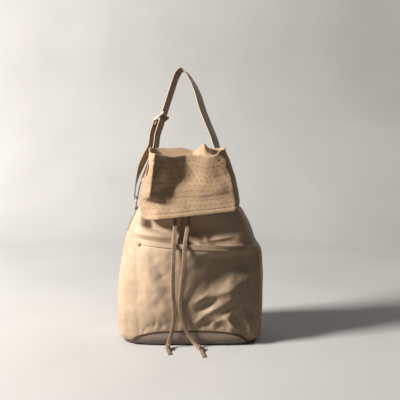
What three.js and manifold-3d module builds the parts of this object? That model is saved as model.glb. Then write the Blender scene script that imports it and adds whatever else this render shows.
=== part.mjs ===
// A soft leather shoulder bag: a bell-shaped drawstring pouch with a front pocket and a boat-shaped base,
// a folded flap over its gathered mouth, and one adjustable strap that stands on two side rings.
// Millimetres, +Z up. The front faces -Y. The origin is on the floor under the middle of the base.

import * as THREE from "three";
import { mergeVertices } from "three/addons/utils/BufferGeometryUtils.js";
import Module from "manifold-3d";

// Leather and clearances
const GAP = 0.3; // between pieces that touch
const WRAP_GAP = 0.6; // under a layer that wraps round the pouch
const SKIN = 2.5; // leather of pouch, pocket, base and flap
const THIN_SKIN = 1.4; // hem, facing and seam strip
const BOARD = 2.5; // stiffener on the base
const LINING = 1.2;
const LINING_GAP = 2.2; // slack between lining and pouch

// Pouch, section by section from the floor up
const FLOOR_WIDTH = 256;
const FLOOR_DEPTH = 122;
const BILGE_HEIGHT = 22; // where the round of the base ends
const BILGE_WIDTH = 303;
const BILGE_DEPTH = 152;
const BELLY_RISE = 63;
const BELLY_WIDTH = 309;
const BELLY_DEPTH = 160;
const BREAST_RISE = 111;
const BREAST_WIDTH = 280;
const BREAST_DEPTH = 136;
const SHOULDER_RISE = 72;
const SHOULDER_WIDTH = 224;
const SHOULDER_DEPTH = 100;
const NECK_RISE = 48;
const NECK_WIDTH = 140;
const NECK_DEPTH = 60;
const CASING_HEIGHT = 14;
const FRILL_RISE = 26;
const MOUTH_WIDTH = 144;
const MOUTH_DEPTH = 54;
const PLAN_POWER = 2.5; // superellipse of the pouch's plan
const FOOT_POWER = 4.6; // squarer at the floor
const FOOT_RISE = 110; // where the plan has become as round as it stays
const SEAM_GAP = 0.4; // between the front and back panels

// Base panel: its rim stands high in front and behind, and low at the sides
const LIP_HIGH = 32;
const LIP_LOW = 5;
const LIP_REACH = 0.81; // share of the half width where the rim has come down

// Front pocket
const POCKET_WIDTH = 224;
const POCKET_DROP = 60; // from the shoulder down to the pocket mouth
const POCKET_TILT = -0.045; // the mouth falls to the right
const POCKET_ROOM = 10; // how far the mouth stands open
const HEM_HEIGHT = 10;
const POCKET_RIVET_INSET = 7;

// Drawstring
const CORD_WIDTH = 8;
const CORD_THICK = 2;
const CASING_DEPTH = 4.6;
const CASING_WALL = 2;
const EYELET_MIDDLE = -15; // the two eyelets sit left of the centre
const EYELET_SPACING = 28;
const EYELET_BORE = 8.8;
const EYELET_WALL = 0.7;
const EYELET_FLANGE = 15.2;
const EYELET_FLANGE_THICK = 1.2;
const KNOT_RADIUS = 5.2;
const KNOT_LENGTH = 12;

// Flap
const HOOD_MIDDLE = -12; // the line where the flap is widest lies in front of the pouch's middle
const BACK_RIM_RISE = 44; // above the mouth
const RIM_DROP = 12; // the front rim lies lower than the back rim
const FLAP_FALL = 121.5; // from the front rim down to the free edge
const FLAP_TILT = 0.11; // the free edge climbs to the right
const WING_RISE = 24; // lower edge of the side wings above the shoulder
const WING_INSET = 8; // flap inside the shoulder at each side
const RIM_LEFT = 82; // half widths of the flap at its rim
const RIM_RIGHT = 72;
const EDGE_ROOM = 9; // in front of the shoulder, for the drawstring
const RIM_FRONT_ROOM = 20.5; // in front of the mouth
const RIM_BACK_INSET = 3; // back rim inside the mouth's depth
const FRONT_POWER = 3; // superellipse of the flap's front half
const REAR_POWER = 2.4; // and of its rear half
const SAG = 14; // hollow of the flap's top
const PEAK_HEIGHT = 31; // pinched fold that stands on the top
const PEAK_WIDTH = 40;
const PEAK_X = 29;
const FACING_HEIGHT = 22;
const FLAP_LAP = 14; // how far the flap's rear reaches below the shoulder
const REAR_FOOT_SHARE = 0.72; // the rear part narrows to its foot
const REAR_BEVEL = 2.2; // its top slants under the hollow of the flap
const STRIP_HEIGHT = 12;

// Rings and tabs
const RING_RADIUS = 12.5; // to the middle of the wire
const WIRE = 3;
const RING_CLEAR = 0.35;
const RING_RISE = 16; // ring centres above the shoulder
const LEFT_TAB_BACK = 10; // left tab behind the pouch's middle
const RIGHT_TAB_BACK = 30; // right tab further round the corner
const TAB_WIDTH = 12;
const TAB_THICK = 2.4;
const TAB_EYE = 1.6; // leather round the wire
const TAB_STEM = 8; // from the wire down to where the tab lies on the pouch
const TAB_FALL = 40;
const RIVET_RADIUS = 4.5;
const RIVET_HEIGHT = 1.8;

// Strap
const STRAP_WIDTH = 24;
const STRAP_END_WIDTH = 13; // where it passes a ring
const STRAP_THICK = 3;
const RETURN_THICK = 2.4;
const STRAP_LEAN = THREE.MathUtils.degToRad(17.5);
const STRAP_RISE = 302; // from ring axis to peak, along the lean
const STRAP_PEAK_X = -1.5; // from halfway between the rings
const STRAP_TWIST = THREE.MathUtils.degToRad(30);
const FOLD_LENGTH = 46; // right end, folded back on itself
const SLIDER_SHARE = 0.634; // slider's place on the rise
const SLIDER_TILT = THREE.MathUtils.degToRad(38); // from the strap to the slider's links
const SLIDER_BAR = 3.4;
const SEWN_PITCH = 10; // from the middle bar to the one with the strap's end
const CHEEK = 2;
const CHEEK_RADIUS = 3.2;
const CHEEK_CLEAR = 0.6;
const SLIDE_CLEAR = 0.45;
const LOOP_LEG = 14; // strap end sewn round the slider's bar
const RETURN_SLACK = 3; // the doubled run bows away from the main one

// Strap runs as [share of the rise, share of the way from peak to ring]
const RIGHT_RUN = [
  [0.1, 1.0],
  [0.17, 0.905],
  [0.28, 0.775],
  [0.4, 0.655],
  [0.478, 0.6],
  [0.59, 0.491],
  [0.7, 0.39],
  [0.82, 0.305],
  [0.9, 0.219],
  [0.98, 0.09],
];
const LEFT_TOP = [0.975, 0.085];
const STRAIGHT_TOP = [0.828, 0.241];
const STRAIGHT_FOOT = [0.497, 0.546];
const LEFT_RUN = [
  [0.403, 0.59],
  [0.31, 0.71],
  [0.222, 0.825],
  [0.13, 0.92],
];

// Free drawstring tails, from the eyelets down the front to their knots on the floor
const TAIL_LEFT = [
  [-29, -32.8, 323],
  [-29, -41, 323],
  [-29, -46, 321],
  [-29, -49, 315],
  [-29, -50.5, 302],
  [-29, -52, 285],
  [-29, -54.6, 264],
  [-29.3, -59, 248],
  [-29.8, -69, 231],
  [-30.5, -80, 216],
  [-31, -85, 203],
  [-31.6, -89, 180],
  [-32.4, -91.5, 150],
  [-32.8, -91.5, 120],
  [-31, -89.5, 92],
  [-30, -88, 70],
  [-33, -86.6, 46],
  [-36.5, -85, 28],
  [-41, -85.5, 14],
  [-43, -87.2, 7.5],
  [-43.4, -89.4, 6],
];
const TAIL_RIGHT = [
  [-1, -33, 323],
  [-1, -41, 323],
  [-1, -46, 321],
  [-1, -49, 315],
  [-1, -50.5, 302],
  [-1.2, -52, 285],
  [-1.7, -54.8, 264],
  [-3, -59, 248],
  [-6, -69, 231],
  [-8.4, -80, 216],
  [-9.2, -85.4, 203],
  [-10.4, -89.6, 180],
  [-13, -92, 150],
  [-15.8, -92, 122],
  [-18, -90, 97],
  [-17, -88.5, 74],
  [-12, -87, 50],
  [-3.5, -85.4, 31],
  [7, -86.4, 14],
  [12, -89, 8],
  [15.6, -92.6, 6],
];
const KNOT_LEFT = [-43.5, -96.3, 5.6];
const KNOT_RIGHT = [19.4, -98.6, 5.6];
const END_LEFT = [
  [-43, -103, 3.4],
  [-42, -108, 1.6],
  [-40.4, -114, 1.4],
  [-38, -122, 1.4],
];
const END_RIGHT = [
  [22.3, -104.7, 3.6],
  [24, -110, 1.8],
  [26, -120, 1.4],
  [28.7, -135, 1.4],
];

// Main folds as [x0, z0, x1, z1, width, height]: ridges, or valleys with a negative height
const FLAP_FOLDS = [
  [-64, 390, -88, 302, 10, 8],
  [-46, 384, -54, 318, 20, -6],
  [-20, 386, -24, 336, 24, -13],
  [-10, 298, 98, 326, 12, 5],
  [10, 320, 92, 348, 16, -5],
];
const BACK_FOLDS = [
  [-95, 74, -30, 112, 26, 4.5],
  [20, 78, 90, 120, 26, 4.5],
  [-70, 162, 40, 184, 26, 4],
  [60, 196, 108, 150, 24, 3.5],
];

// Grid counts
const HALF_COLUMNS = 16;
const COVER_COLUMNS = 32;
const COVER_WALL_ROWS = 6;
const COVER_TOP_ROWS = 6;

// Heights and places that follow from the sizes above
const BELLY_HEIGHT = BILGE_HEIGHT + BELLY_RISE;
const BREAST_HEIGHT = BELLY_HEIGHT + BREAST_RISE;
const SHOULDER_HEIGHT = BREAST_HEIGHT + SHOULDER_RISE;
const NECK_HEIGHT = SHOULDER_HEIGHT + NECK_RISE;
const CASING_TOP = NECK_HEIGHT + CASING_HEIGHT;
const CASING_MIDDLE = NECK_HEIGHT + CASING_HEIGHT / 2;
const MOUTH_HEIGHT = CASING_TOP + FRILL_RISE;
const BACK_RIM = MOUTH_HEIGHT + BACK_RIM_RISE;
const FRONT_RIM = BACK_RIM - RIM_DROP;
const FLAP_EDGE = FRONT_RIM - FLAP_FALL;
const WING_EDGE = SHOULDER_HEIGHT + WING_RISE;
const RING_HEIGHT = SHOULDER_HEIGHT + RING_RISE;
const WIRE_LOW = RING_HEIGHT - RING_RADIUS; // lowest place of the rings' wire
const TAB_TOP = WIRE_LOW - TAB_STEM;
const POCKET_MOUTH = SHOULDER_HEIGHT - POCKET_DROP;
const BACK_RIM_Y = MOUTH_DEPTH / 2 - RIM_BACK_INSET;
const REAR_FOOT = SHOULDER_HEIGHT - FLAP_LAP;

const wasm = await Module();
wasm.setup();

// Closed solids

// Welds points that coincide, drops triangles that vanish and turns the faces outwards.
function closedGeometry(points, triangles) {
  const loose = new THREE.BufferGeometry().setFromPoints(points);
  loose.setIndex(triangles.flat());
  const welded = mergeVertices(loose, 1e-4);
  const at = welded.attributes.position;
  const kept = [];
  let volume = 0;
  const [p, q, r] = [new THREE.Vector3(), new THREE.Vector3(), new THREE.Vector3()];
  for (let i = 0; i < welded.index.count; i += 3) {
    const [a, b, c] = welded.index.array.slice(i, i + 3);
    if (a === b || b === c || c === a) continue;
    kept.push([a, b, c]);
    p.fromBufferAttribute(at, a);
    q.fromBufferAttribute(at, b);
    r.fromBufferAttribute(at, c);
    volume += p.dot(q.cross(r));
  }
  const outward = volume > 0 ? kept : kept.map(([a, b, c]) => [a, c, b]);
  welded.setIndex(outward.flat());
  return welded;
}

// A sheet with thickness: outer(i, j) and inner(i, j) give its two faces on a grid. A ring sheet joins its last
// column to its first.
function sheetSolid(columns, rows, outer, inner, ring = false) {
  const across = ring ? columns : columns + 1;
  const points = [];
  for (const face of [outer, inner])
    for (let j = 0; j <= rows; j++) for (let i = 0; i < across; i++) points.push(face(i, j));
  const half = across * (rows + 1);
  const index = (i, j, back) => (i % across) + j * across + (back ? half : 0);
  const triangles = [];
  const quad = (a, b, c, d) => triangles.push([a, b, c], [a, c, d]);
  for (let j = 0; j < rows; j++)
    for (let i = 0; i < columns; i++) {
      quad(index(i, j), index(i + 1, j), index(i + 1, j + 1), index(i, j + 1));
      quad(index(i, j, 1), index(i, j + 1, 1), index(i + 1, j + 1, 1), index(i + 1, j, 1));
    }
  for (let i = 0; i < columns; i++) {
    quad(index(i, 0), index(i, 0, 1), index(i + 1, 0, 1), index(i + 1, 0));
    quad(index(i, rows), index(i + 1, rows), index(i + 1, rows, 1), index(i, rows, 1));
  }
  if (!ring)
    for (let j = 0; j < rows; j++) {
      quad(index(0, j), index(0, j + 1), index(0, j + 1, 1), index(0, j, 1));
      quad(index(columns, j), index(columns, j, 1), index(columns, j + 1, 1), index(columns, j + 1));
    }
  return closedGeometry(points, triangles);
}

// A solid through a row of sections with equally many points, with flat ends unless it closes on itself.
function loftSolid(sections, closed = false) {
  const size = sections[0].length;
  const count = sections.length;
  const triangles = [];
  const index = (i, k) => (i % count) * size + (k % size);
  for (let i = 0; i < (closed ? count : count - 1); i++)
    for (let k = 0; k < size; k++)
      triangles.push(
        [index(i, k), index(i, k + 1), index(i + 1, k + 1)],
        [index(i, k), index(i + 1, k + 1), index(i + 1, k)],
      );
  if (!closed)
    for (let k = 1; k < size - 1; k++)
      triangles.push(
        [index(0, 0), index(0, k + 1), index(0, k)],
        [index(count - 1, 0), index(count - 1, k), index(count - 1, k + 1)],
      );
  return closedGeometry(sections.flat(), triangles);
}

// A flat strip with eased edges along a line of points. across(i) is its width direction, widthAt(i) its width.
function ribbonSolid(line, across, widthAt, thick) {
  const ease = thick * 0.3;
  const sections = line.map((point, i) => {
    const along = line[Math.min(i + 1, line.length - 1)].clone().sub(line[Math.max(i - 1, 0)]).normalize();
    const wide = across(i).clone();
    wide.addScaledVector(along, -wide.dot(along)).normalize();
    const up = along.clone().cross(wide);
    const [w, t] = [widthAt(i) / 2, thick / 2];
    const outline = [
      [w, t - ease],
      [w - ease, t],
      [ease - w, t],
      [-w, t - ease],
      [-w, ease - t],
      [ease - w, -t],
      [w - ease, -t],
      [w, ease - t],
    ];
    return outline.map(([a, b]) => point.clone().addScaledVector(wide, a).addScaledVector(up, b));
  });
  return loftSolid(sections);
}

function toManifold(geometry) {
  const bare = geometry.clone();
  bare.deleteAttribute("normal");
  bare.deleteAttribute("uv");
  const welded = mergeVertices(bare, 1e-4);
  return new wasm.Manifold(
    new wasm.Mesh({
      numProp: 3,
      vertProperties: new Float32Array(welded.attributes.position.array),
      triVerts: new Uint32Array(welded.index.array),
    }),
  );
}

function fromManifold(solid) {
  const mesh = solid.getMesh();
  return new THREE.BufferGeometry()
    .setAttribute("position", new THREE.BufferAttribute(mesh.vertProperties, 3))
    .setIndex(new THREE.BufferAttribute(mesh.triVerts, 1));
}

function joined(...geometries) {
  return fromManifold(geometries.map(toManifold).reduce((sum, next) => sum.add(next)));
}

function cut(geometry, ...tools) {
  return fromManifold(tools.map(toManifold).reduce((rest, tool) => rest.subtract(tool), toManifold(geometry)));
}

// The pouch's skin

// A smooth function through [height, value] pairs that never overshoots them.
function smoothThrough(knots) {
  const slope = knots.slice(1).map(([z, v], i) => (v - knots[i][1]) / (z - knots[i][0]));
  const tangent = knots.map((_, i) => {
    const [before, after] = [slope[i - 1] ?? 0, slope[i] ?? slope[i - 1]];
    return before * after > 0 ? (2 * before * after) / (before + after) : 0;
  });
  return (height) => {
    const z = THREE.MathUtils.clamp(height, knots[0][0], knots[knots.length - 1][0]);
    const i = Math.max(0, knots.findIndex(([top]) => z <= top) - 1);
    const span = knots[i + 1][0] - knots[i][0];
    const t = (z - knots[i][0]) / span;
    const rise = knots[i + 1][1] - knots[i][1];
    const [m0, m1] = [tangent[i] * span, tangent[i + 1] * span];
    return knots[i][1] + m0 * t + (3 * rise - 2 * m0 - m1) * t ** 2 + (m0 + m1 - 2 * rise) * t ** 3;
  };
}

// Half the pouch's width or depth at a height: a quarter ellipse at the foot, then a smooth line to the mouth.
function halfSize(floor, bilge, belly, breast, shoulder, neck, mouth) {
  const wall = smoothThrough([
    [BILGE_HEIGHT, bilge / 2],
    [BELLY_HEIGHT, belly / 2],
    [BREAST_HEIGHT, breast / 2],
    [SHOULDER_HEIGHT, shoulder / 2],
    [NECK_HEIGHT, neck / 2],
    [CASING_TOP, neck / 2],
    [MOUTH_HEIGHT, mouth / 2],
  ]);
  return (z) => {
    const down = Math.max(0, 1 - z / BILGE_HEIGHT);
    return down > 0 ? floor / 2 + ((bilge - floor) / 2) * Math.sqrt(1 - down ** 2) : wall(z);
  };
}

const halfWidth = halfSize(
  FLOOR_WIDTH,
  BILGE_WIDTH,
  BELLY_WIDTH,
  BREAST_WIDTH,
  SHOULDER_WIDTH,
  NECK_WIDTH,
  MOUTH_WIDTH,
);
const halfDepth = halfSize(
  FLOOR_DEPTH,
  BILGE_DEPTH,
  BELLY_DEPTH,
  BREAST_DEPTH,
  SHOULDER_DEPTH,
  NECK_DEPTH,
  MOUTH_DEPTH,
);

const signedPower = (value, power) => Math.sign(value) * Math.abs(value) ** power;
const smooth = THREE.MathUtils.smoothstep;
const lerp = THREE.MathUtils.lerp;

const planPower = (z) => lerp(FOOT_POWER, PLAN_POWER, smooth(z, 0, FOOT_RISE));

// A point at `out` from the skin. turn runs round the plan from +X through the back.
function skinPoint(turn, z, out) {
  return new THREE.Vector3(
    (halfWidth(z) + out) * signedPower(Math.cos(turn), 2 / planPower(z)),
    (halfDepth(z) + out) * signedPower(Math.sin(turn), 2 / planPower(z)),
    z,
  );
}

const planShare = (share, power) => (1 - Math.min(1, Math.abs(share)) ** power) ** (1 / power);
const skinY = (x, z, out) => (halfDepth(z) + out) * planShare(x / (halfWidth(z) + out), planPower(z));
const skinX = (y, z, out) => (halfWidth(z) + out) * planShare(y / (halfDepth(z) + out), planPower(z));

// Height of a set of folds at (x, z): a bell of the distance to each line, which fades towards its ends.
function relief(folds, x, z) {
  return folds.reduce((total, [x0, z0, x1, z1, width, height]) => {
    const [dx, dz] = [x1 - x0, z1 - z0];
    const share = THREE.MathUtils.clamp(((x - x0) * dx + (z - z0) * dz) / (dx ** 2 + dz ** 2), 0, 1);
    const away = Math.hypot(x - x0 - share * dx, z - z0 - share * dz);
    const fade = 0.35 + 0.65 * Math.sin(Math.PI * share);
    return total + height * fade * Math.exp(-((away / width) ** 2));
  }, 0);
}

// Direction square to a surface given by two neighbours of a point, on the side of `towards`.
function squareTo(point, first, second, towards) {
  const normal = first.clone().sub(point).cross(second.clone().sub(point)).normalize();
  return normal.dot(towards) < 0 ? normal.negate() : normal;
}

// A place on the pouch's left (-1) or right (1) side, with the direction square to the skin there.
function sidePlace(side, y, z) {
  const at = (dy, dz) => new THREE.Vector3(side * skinX(y + dy, z + dz, 0), y + dy, z + dz);
  return { point: at(0, 0), outward: squareTo(at(0, 0), at(1, 0), at(0, 1), new THREE.Vector3(side, 0, 0)) };
}

// Heights of the pouch's rows: a few in each stretch between its sections.
function rowHeights(foot, top, stretches) {
  const marks = [BILGE_HEIGHT, BELLY_HEIGHT, BREAST_HEIGHT, SHOULDER_HEIGHT, NECK_HEIGHT, CASING_TOP, top];
  const heights = [foot];
  marks.forEach((mark, k) => {
    const from = heights[heights.length - 1];
    for (let i = 1; i <= stretches[k]; i++) heights.push(lerp(from, mark, i / stretches[k]));
  });
  return heights;
}

// Half of the pouch, front (side -1) or back (side 1), down to the side seams.
function pouchPanel(side, folds) {
  const heights = rowHeights(SKIN + GAP, MOUTH_HEIGHT, [2, 3, 4, 3, 3, 1, 1]);
  const face = (out) => (i, j) => {
    const point = skinPoint((side * Math.PI * i) / HALF_COLUMNS, heights[j], out);
    point.y += side * (SEAM_GAP / 2 + relief(folds, point.x, point.z));
    return point;
  };
  return sheetSolid(HALF_COLUMNS, heights.length - 1, face(0), face(-SKIN));
}

function liningBag() {
  const bottom = SKIN + GAP + BOARD + GAP;
  const outside = SKIN + LINING_GAP;
  const face = (foot, out) => {
    const heights = [foot, ...rowHeights(foot, MOUTH_HEIGHT - FRILL_RISE / 2, [2, 1, 1, 2, 3, 1, 1])];
    return (i, j) =>
      j === 0 ? new THREE.Vector3(0, 0, foot) : skinPoint((2 * Math.PI * i) / HALF_COLUMNS, heights[j], out);
  };
  const outer = face(bottom, -outside);
  const inner = face(bottom + LINING, -outside - LINING);
  return sheetSolid(HALF_COLUMNS, 12, outer, inner, true);
}

// Height of the base panel's rim: a crescent in front and behind.
function lipHeight(turn) {
  const share = Math.abs(Math.cos(turn)) ** (2 / planPower(LIP_HIGH)) / LIP_REACH;
  return LIP_LOW + (LIP_HIGH - LIP_LOW) * Math.max(0, 1 - share ** 4);
}

const BASE_INSIDE = 2.5 * WRAP_GAP; // room between the base and the pouch
const BASE_OUTSIDE = BASE_INSIDE + SKIN;

function basePanel() {
  const rows = 6;
  const face = (foot, out) => (i, j) => {
    if (j === 0) return new THREE.Vector3(0, 0, foot);
    const turn = (Math.PI * i) / HALF_COLUMNS;
    return skinPoint(turn, lerp(foot, lipHeight(turn), ((j - 1) / (rows - 1)) ** 1.5), out);
  };
  return sheetSolid(2 * HALF_COLUMNS, rows, face(0, BASE_OUTSIDE), face(SKIN, BASE_INSIDE), true);
}

function baseBoard() {
  const foot = SKIN + GAP;
  const outline = new THREE.Shape();
  for (let i = 0; i < 2 * HALF_COLUMNS; i++) {
    const point = skinPoint((Math.PI * i) / HALF_COLUMNS, foot, -SKIN - WRAP_GAP);
    if (i === 0) outline.moveTo(point.x, point.y);
    else outline.lineTo(point.x, point.y);
  }
  return new THREE.ExtrudeGeometry(outline, { depth: BOARD, bevelEnabled: false }).translate(0, 0, foot);
}

// Front pocket

const pocketMouth = (x) => POCKET_MOUTH + POCKET_TILT * x;

// How far the pocket's inner face stands off the pouch: nothing at its sewn edges, most at the mouth's middle.
function pocketStandoff(x, z) {
  const foot = LIP_HIGH;
  const climb = THREE.MathUtils.clamp((z - foot) / (pocketMouth(x) - foot), 0, 1);
  return 1.5 * WRAP_GAP + POCKET_ROOM * (1 - ((2 * x) / POCKET_WIDTH) ** 2) * climb ** 1.2;
}

function pocketPoint(x, z, out) {
  return new THREE.Vector3(x, -skinY(x, z, pocketStandoff(x, z) + out), z);
}

function pocketSheet(columns, rows, footAt, from, to) {
  const face = (out) => (i, j) => {
    const x = POCKET_WIDTH * (i / columns - 0.5);
    return pocketPoint(x, lerp(footAt(x), pocketMouth(x), (j / rows) ** 1.5), out);
  };
  return sheetSolid(columns, rows, face(to), face(from));
}

// The pocket's foot follows the rim of the base panel: the turn where the rim is at x is found by halving.
function pocketFoot(x) {
  let [side, front] = [0, Math.PI / 2];
  for (let i = 0; i < 24; i++) {
    const turn = (side + front) / 2;
    if (skinPoint(turn, lipHeight(turn), BASE_OUTSIDE).x > Math.abs(x)) side = turn;
    else front = turn;
  }
  return lipHeight(front) + 2 * WRAP_GAP;
}

const pocketPanel = () => pocketSheet(22, 8, pocketFoot, 0, SKIN);
const pocketHem = () => {
  const outside = SKIN + GAP;
  return pocketSheet(22, 1, (x) => pocketMouth(x) - HEM_HEIGHT, outside, outside + THIN_SKIN);
};

// A low domed head whose flat back lies on the XY plane.
function rivetHead() {
  const dome = new THREE.SplineCurve([
    new THREE.Vector2(RIVET_RADIUS, RIVET_HEIGHT * 0.4),
    new THREE.Vector2(RIVET_RADIUS * 0.7, RIVET_HEIGHT * 0.85),
    new THREE.Vector2(0, RIVET_HEIGHT),
  ]).getPoints(3);
  const profile = [new THREE.Vector2(0, 0), new THREE.Vector2(RIVET_RADIUS, 0), ...dome];
  return new THREE.LatheGeometry(profile, 12).rotateX(Math.PI / 2);
}

// Drawstring channel, eyelets and cord

const EYELETS = { left: EYELET_MIDDLE - EYELET_SPACING / 2, right: EYELET_MIDDLE + EYELET_SPACING / 2 };
const CASING_OUT = WRAP_GAP + CASING_DEPTH;

// A band with a groove on its inner side, open at the eyelets.
function mouthCasing() {
  const [low, high] = [NECK_HEIGHT + GAP, CASING_TOP - GAP];
  const groove = CASING_OUT - CASING_WALL;
  const [grooveLow, grooveHigh] = [low + CASING_WALL, high - CASING_WALL];
  const outline = [
    [WRAP_GAP, low],
    [CASING_OUT, low],
    [CASING_OUT, high],
    [WRAP_GAP, high],
    [WRAP_GAP, grooveHigh],
    [groove, grooveHigh],
    [groove, grooveLow],
    [WRAP_GAP, grooveLow],
  ];
  const sections = [];
  for (let i = 0; i < 2 * HALF_COLUMNS; i++)
    sections.push(outline.map(([out, z]) => skinPoint((Math.PI * i) / HALF_COLUMNS, z, out)));
  const radius = EYELET_BORE / 2 + EYELET_WALL + GAP;
  const reach = 4 * CASING_DEPTH;
  const drills = Object.values(EYELETS).map((x) =>
    new THREE.CylinderGeometry(radius, radius, reach, 20).translate(
      x,
      -skinY(x, CASING_MIDDLE, CASING_OUT),
      CASING_MIDDLE,
    ),
  );
  return cut(loftSolid(sections, true), ...drills);
}

// A flanged tube along Y, with its flange on the front.
function eyelet(x) {
  const nearest = Math.min(x + EYELET_FLANGE / 2, Math.max(x - EYELET_FLANGE / 2, 0));
  const front = -skinY(nearest, CASING_MIDDLE, CASING_OUT) - GAP;
  const [bore, tube, flange] = [EYELET_BORE / 2, EYELET_BORE / 2 + EYELET_WALL, EYELET_FLANGE / 2];
  const profile = [
    [bore, CASING_WALL],
    [bore, -EYELET_FLANGE_THICK],
    [flange - EYELET_WALL, -EYELET_FLANGE_THICK],
    [flange, -EYELET_FLANGE_THICK / 2],
    [flange, 0],
    [tube, 0],
    [tube, CASING_WALL],
    [bore, CASING_WALL],
  ].map(([r, y]) => new THREE.Vector2(r, y));
  return new THREE.LatheGeometry(profile, 12).translate(x, front, CASING_MIDDLE);
}

// The stretch of drawstring inside the channel, from one eyelet round the back to the other.
function drawstringLoop() {
  const out = WRAP_GAP + GAP + CORD_THICK / 2;
  const aside = CORD_WIDTH / 2 + WRAP_GAP;
  const frontTurn = (x) => -Math.acos(signedPower(x / (halfWidth(CASING_MIDDLE) + out), PLAN_POWER / 2));
  const from = frontTurn(EYELETS.right + aside);
  const to = frontTurn(EYELETS.left - aside) + 2 * Math.PI;
  const line = Array.from({ length: 31 }, (_, i) => skinPoint(lerp(from, to, i / 30), CASING_MIDDLE, out));
  const upright = new THREE.Vector3(0, 0, 1);
  return ribbonSolid(
    line,
    () => upright,
    () => CORD_WIDTH,
    CORD_THICK,
  );
}

// A free stretch of flat cord along its listed route.
function cordRun(route, steps) {
  const curve = new THREE.CatmullRomCurve3(route.map((point) => new THREE.Vector3(...point)));
  const sideways = new THREE.Vector3(1, 0, 0);
  return ribbonSolid(
    curve.getPoints(steps),
    () => sideways,
    () => CORD_WIDTH,
    CORD_THICK,
  );
}

// A stopper knot as two swellings side by side, along the Y axis.
function knotLump() {
  const [end, waist] = [KNOT_RADIUS * 0.55, KNOT_RADIUS * 0.86];
  const half = KNOT_LENGTH / 2;
  const swell = new THREE.SplineCurve([
    new THREE.Vector2(end, -half),
    new THREE.Vector2(KNOT_RADIUS, -half * 0.5),
    new THREE.Vector2(waist, 0),
    new THREE.Vector2(KNOT_RADIUS, half * 0.5),
    new THREE.Vector2(end, half),
  ]).getPoints(8);
  return new THREE.LatheGeometry([new THREE.Vector2(0, -half), ...swell, new THREE.Vector2(0, half)], 12);
}

// Flap: a hood of leather in one sheet, folded over a rear part that stands behind the mouth

const HALF_TURN = Math.PI;
const WING_TURN = THREE.MathUtils.degToRad(100); // wings end a little behind the widest line
const REAR_TURN = THREE.MathUtils.degToRad(104); // and the rear part starts there

// A point of the flap's plan. turn is measured from the front, positive towards +X.
function hoodPoint(turn, z, inset) {
  const climb = THREE.MathUtils.clamp((z - FLAP_EDGE) / (BACK_RIM - FLAP_EDGE), 0, 1);
  const rimWide = Math.sin(turn) < 0 ? RIM_LEFT : RIM_RIGHT;
  const wide = lerp(rimWide, SHOULDER_WIDTH / 2 - WING_INSET, 1 - climb ** 2) - inset;
  const edgeFront = SHOULDER_DEPTH / 2 + EDGE_ROOM + SKIN;
  const rimFront = MOUTH_DEPTH / 2 + RIM_FRONT_ROOM + SKIN;
  const front = lerp(edgeFront, rimFront, climb) + HOOD_MIDDLE - inset;
  const stand = (z - SHOULDER_HEIGHT) / (BACK_RIM - SHOULDER_HEIGHT);
  const rear = lerp(SHOULDER_DEPTH / 2 + WRAP_GAP + SKIN, BACK_RIM_Y, stand) - HOOD_MIDDLE - inset;
  const [s, c] = [Math.sin(turn), Math.cos(turn)];
  const power = 2 / (c > 0 ? FRONT_POWER : REAR_POWER);
  const deep = c > 0 ? -front * c ** power : rear * Math.abs(c) ** power;
  return new THREE.Vector3(wide * signedPower(s, power), HOOD_MIDDLE + deep, z);
}

// The same point on the folded leather: its front carries the main folds.
function frontPoint(turn, z, inset) {
  const plain = hoodPoint(turn, z, inset);
  return hoodPoint(turn, z, inset - relief(FLAP_FOLDS, plain.x, z) * smooth(Math.cos(turn), 0, 0.5));
}

// The free edge tilts in front and climbs to the wings at the sides.
function edgeHeight(turn) {
  const x = hoodPoint(turn, FLAP_EDGE, 0).x;
  const wing = smooth(Math.abs(turn), WING_TURN * 0.5, WING_TURN * 0.92);
  return lerp(FLAP_EDGE + FLAP_TILT * x, WING_EDGE, wing);
}

const rimHeight = (turn) => lerp(FRONT_RIM, BACK_RIM, smooth(Math.abs(turn), WING_TURN * 0.5, WING_TURN));

// The flap's top between the front rim and the back rim: a hollow, with one pinched fold.
function topPoint(turn, share, inset, drop) {
  const rim = frontPoint(turn, rimHeight(turn), inset);
  const side = turn < 0 ? -1 : 1;
  const behind = side * lerp(HALF_TURN, REAR_TURN, Math.abs(turn) / WING_TURN);
  const rear = hoodPoint(behind, BACK_RIM, 0);
  const point = rim.lerp(rear, share);
  const bow = Math.sin(Math.PI * share);
  const pinch = Math.max(0, 1 - Math.abs(point.x - PEAK_X) / (PEAK_WIDTH / 2));
  point.z += PEAK_HEIGHT * pinch * bow - SAG * bow * (1 - (turn / WING_TURN) ** 2) - drop;
  return point;
}

// Top, front and wings as one folded sheet.
function flapCover() {
  const face = (inset) => (i, j) => {
    const turn = WING_TURN * ((2 * i) / COVER_COLUMNS - 1);
    if (j > COVER_WALL_ROWS) return topPoint(turn, (j - COVER_WALL_ROWS) / COVER_TOP_ROWS, inset, inset);
    const z = lerp(edgeHeight(turn), rimHeight(turn) - inset, j / COVER_WALL_ROWS);
    return frontPoint(turn, z, inset);
  };
  return sheetSolid(COVER_COLUMNS, COVER_WALL_ROWS + COVER_TOP_ROWS, face(0), face(SKIN));
}

// A second layer behind the free edge.
function flapFacing() {
  const columns = 32;
  const reach = WING_TURN * 0.8;
  const face = (inset) => (i, j) => {
    const turn = reach * ((2 * i) / columns - 1);
    return frontPoint(turn, edgeHeight(turn) + SKIN + FACING_HEIGHT * j * 0.5, inset);
  };
  return sheetSolid(columns, 2, face(SKIN + WRAP_GAP), face(SKIN + WRAP_GAP + THIN_SKIN));
}

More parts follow.
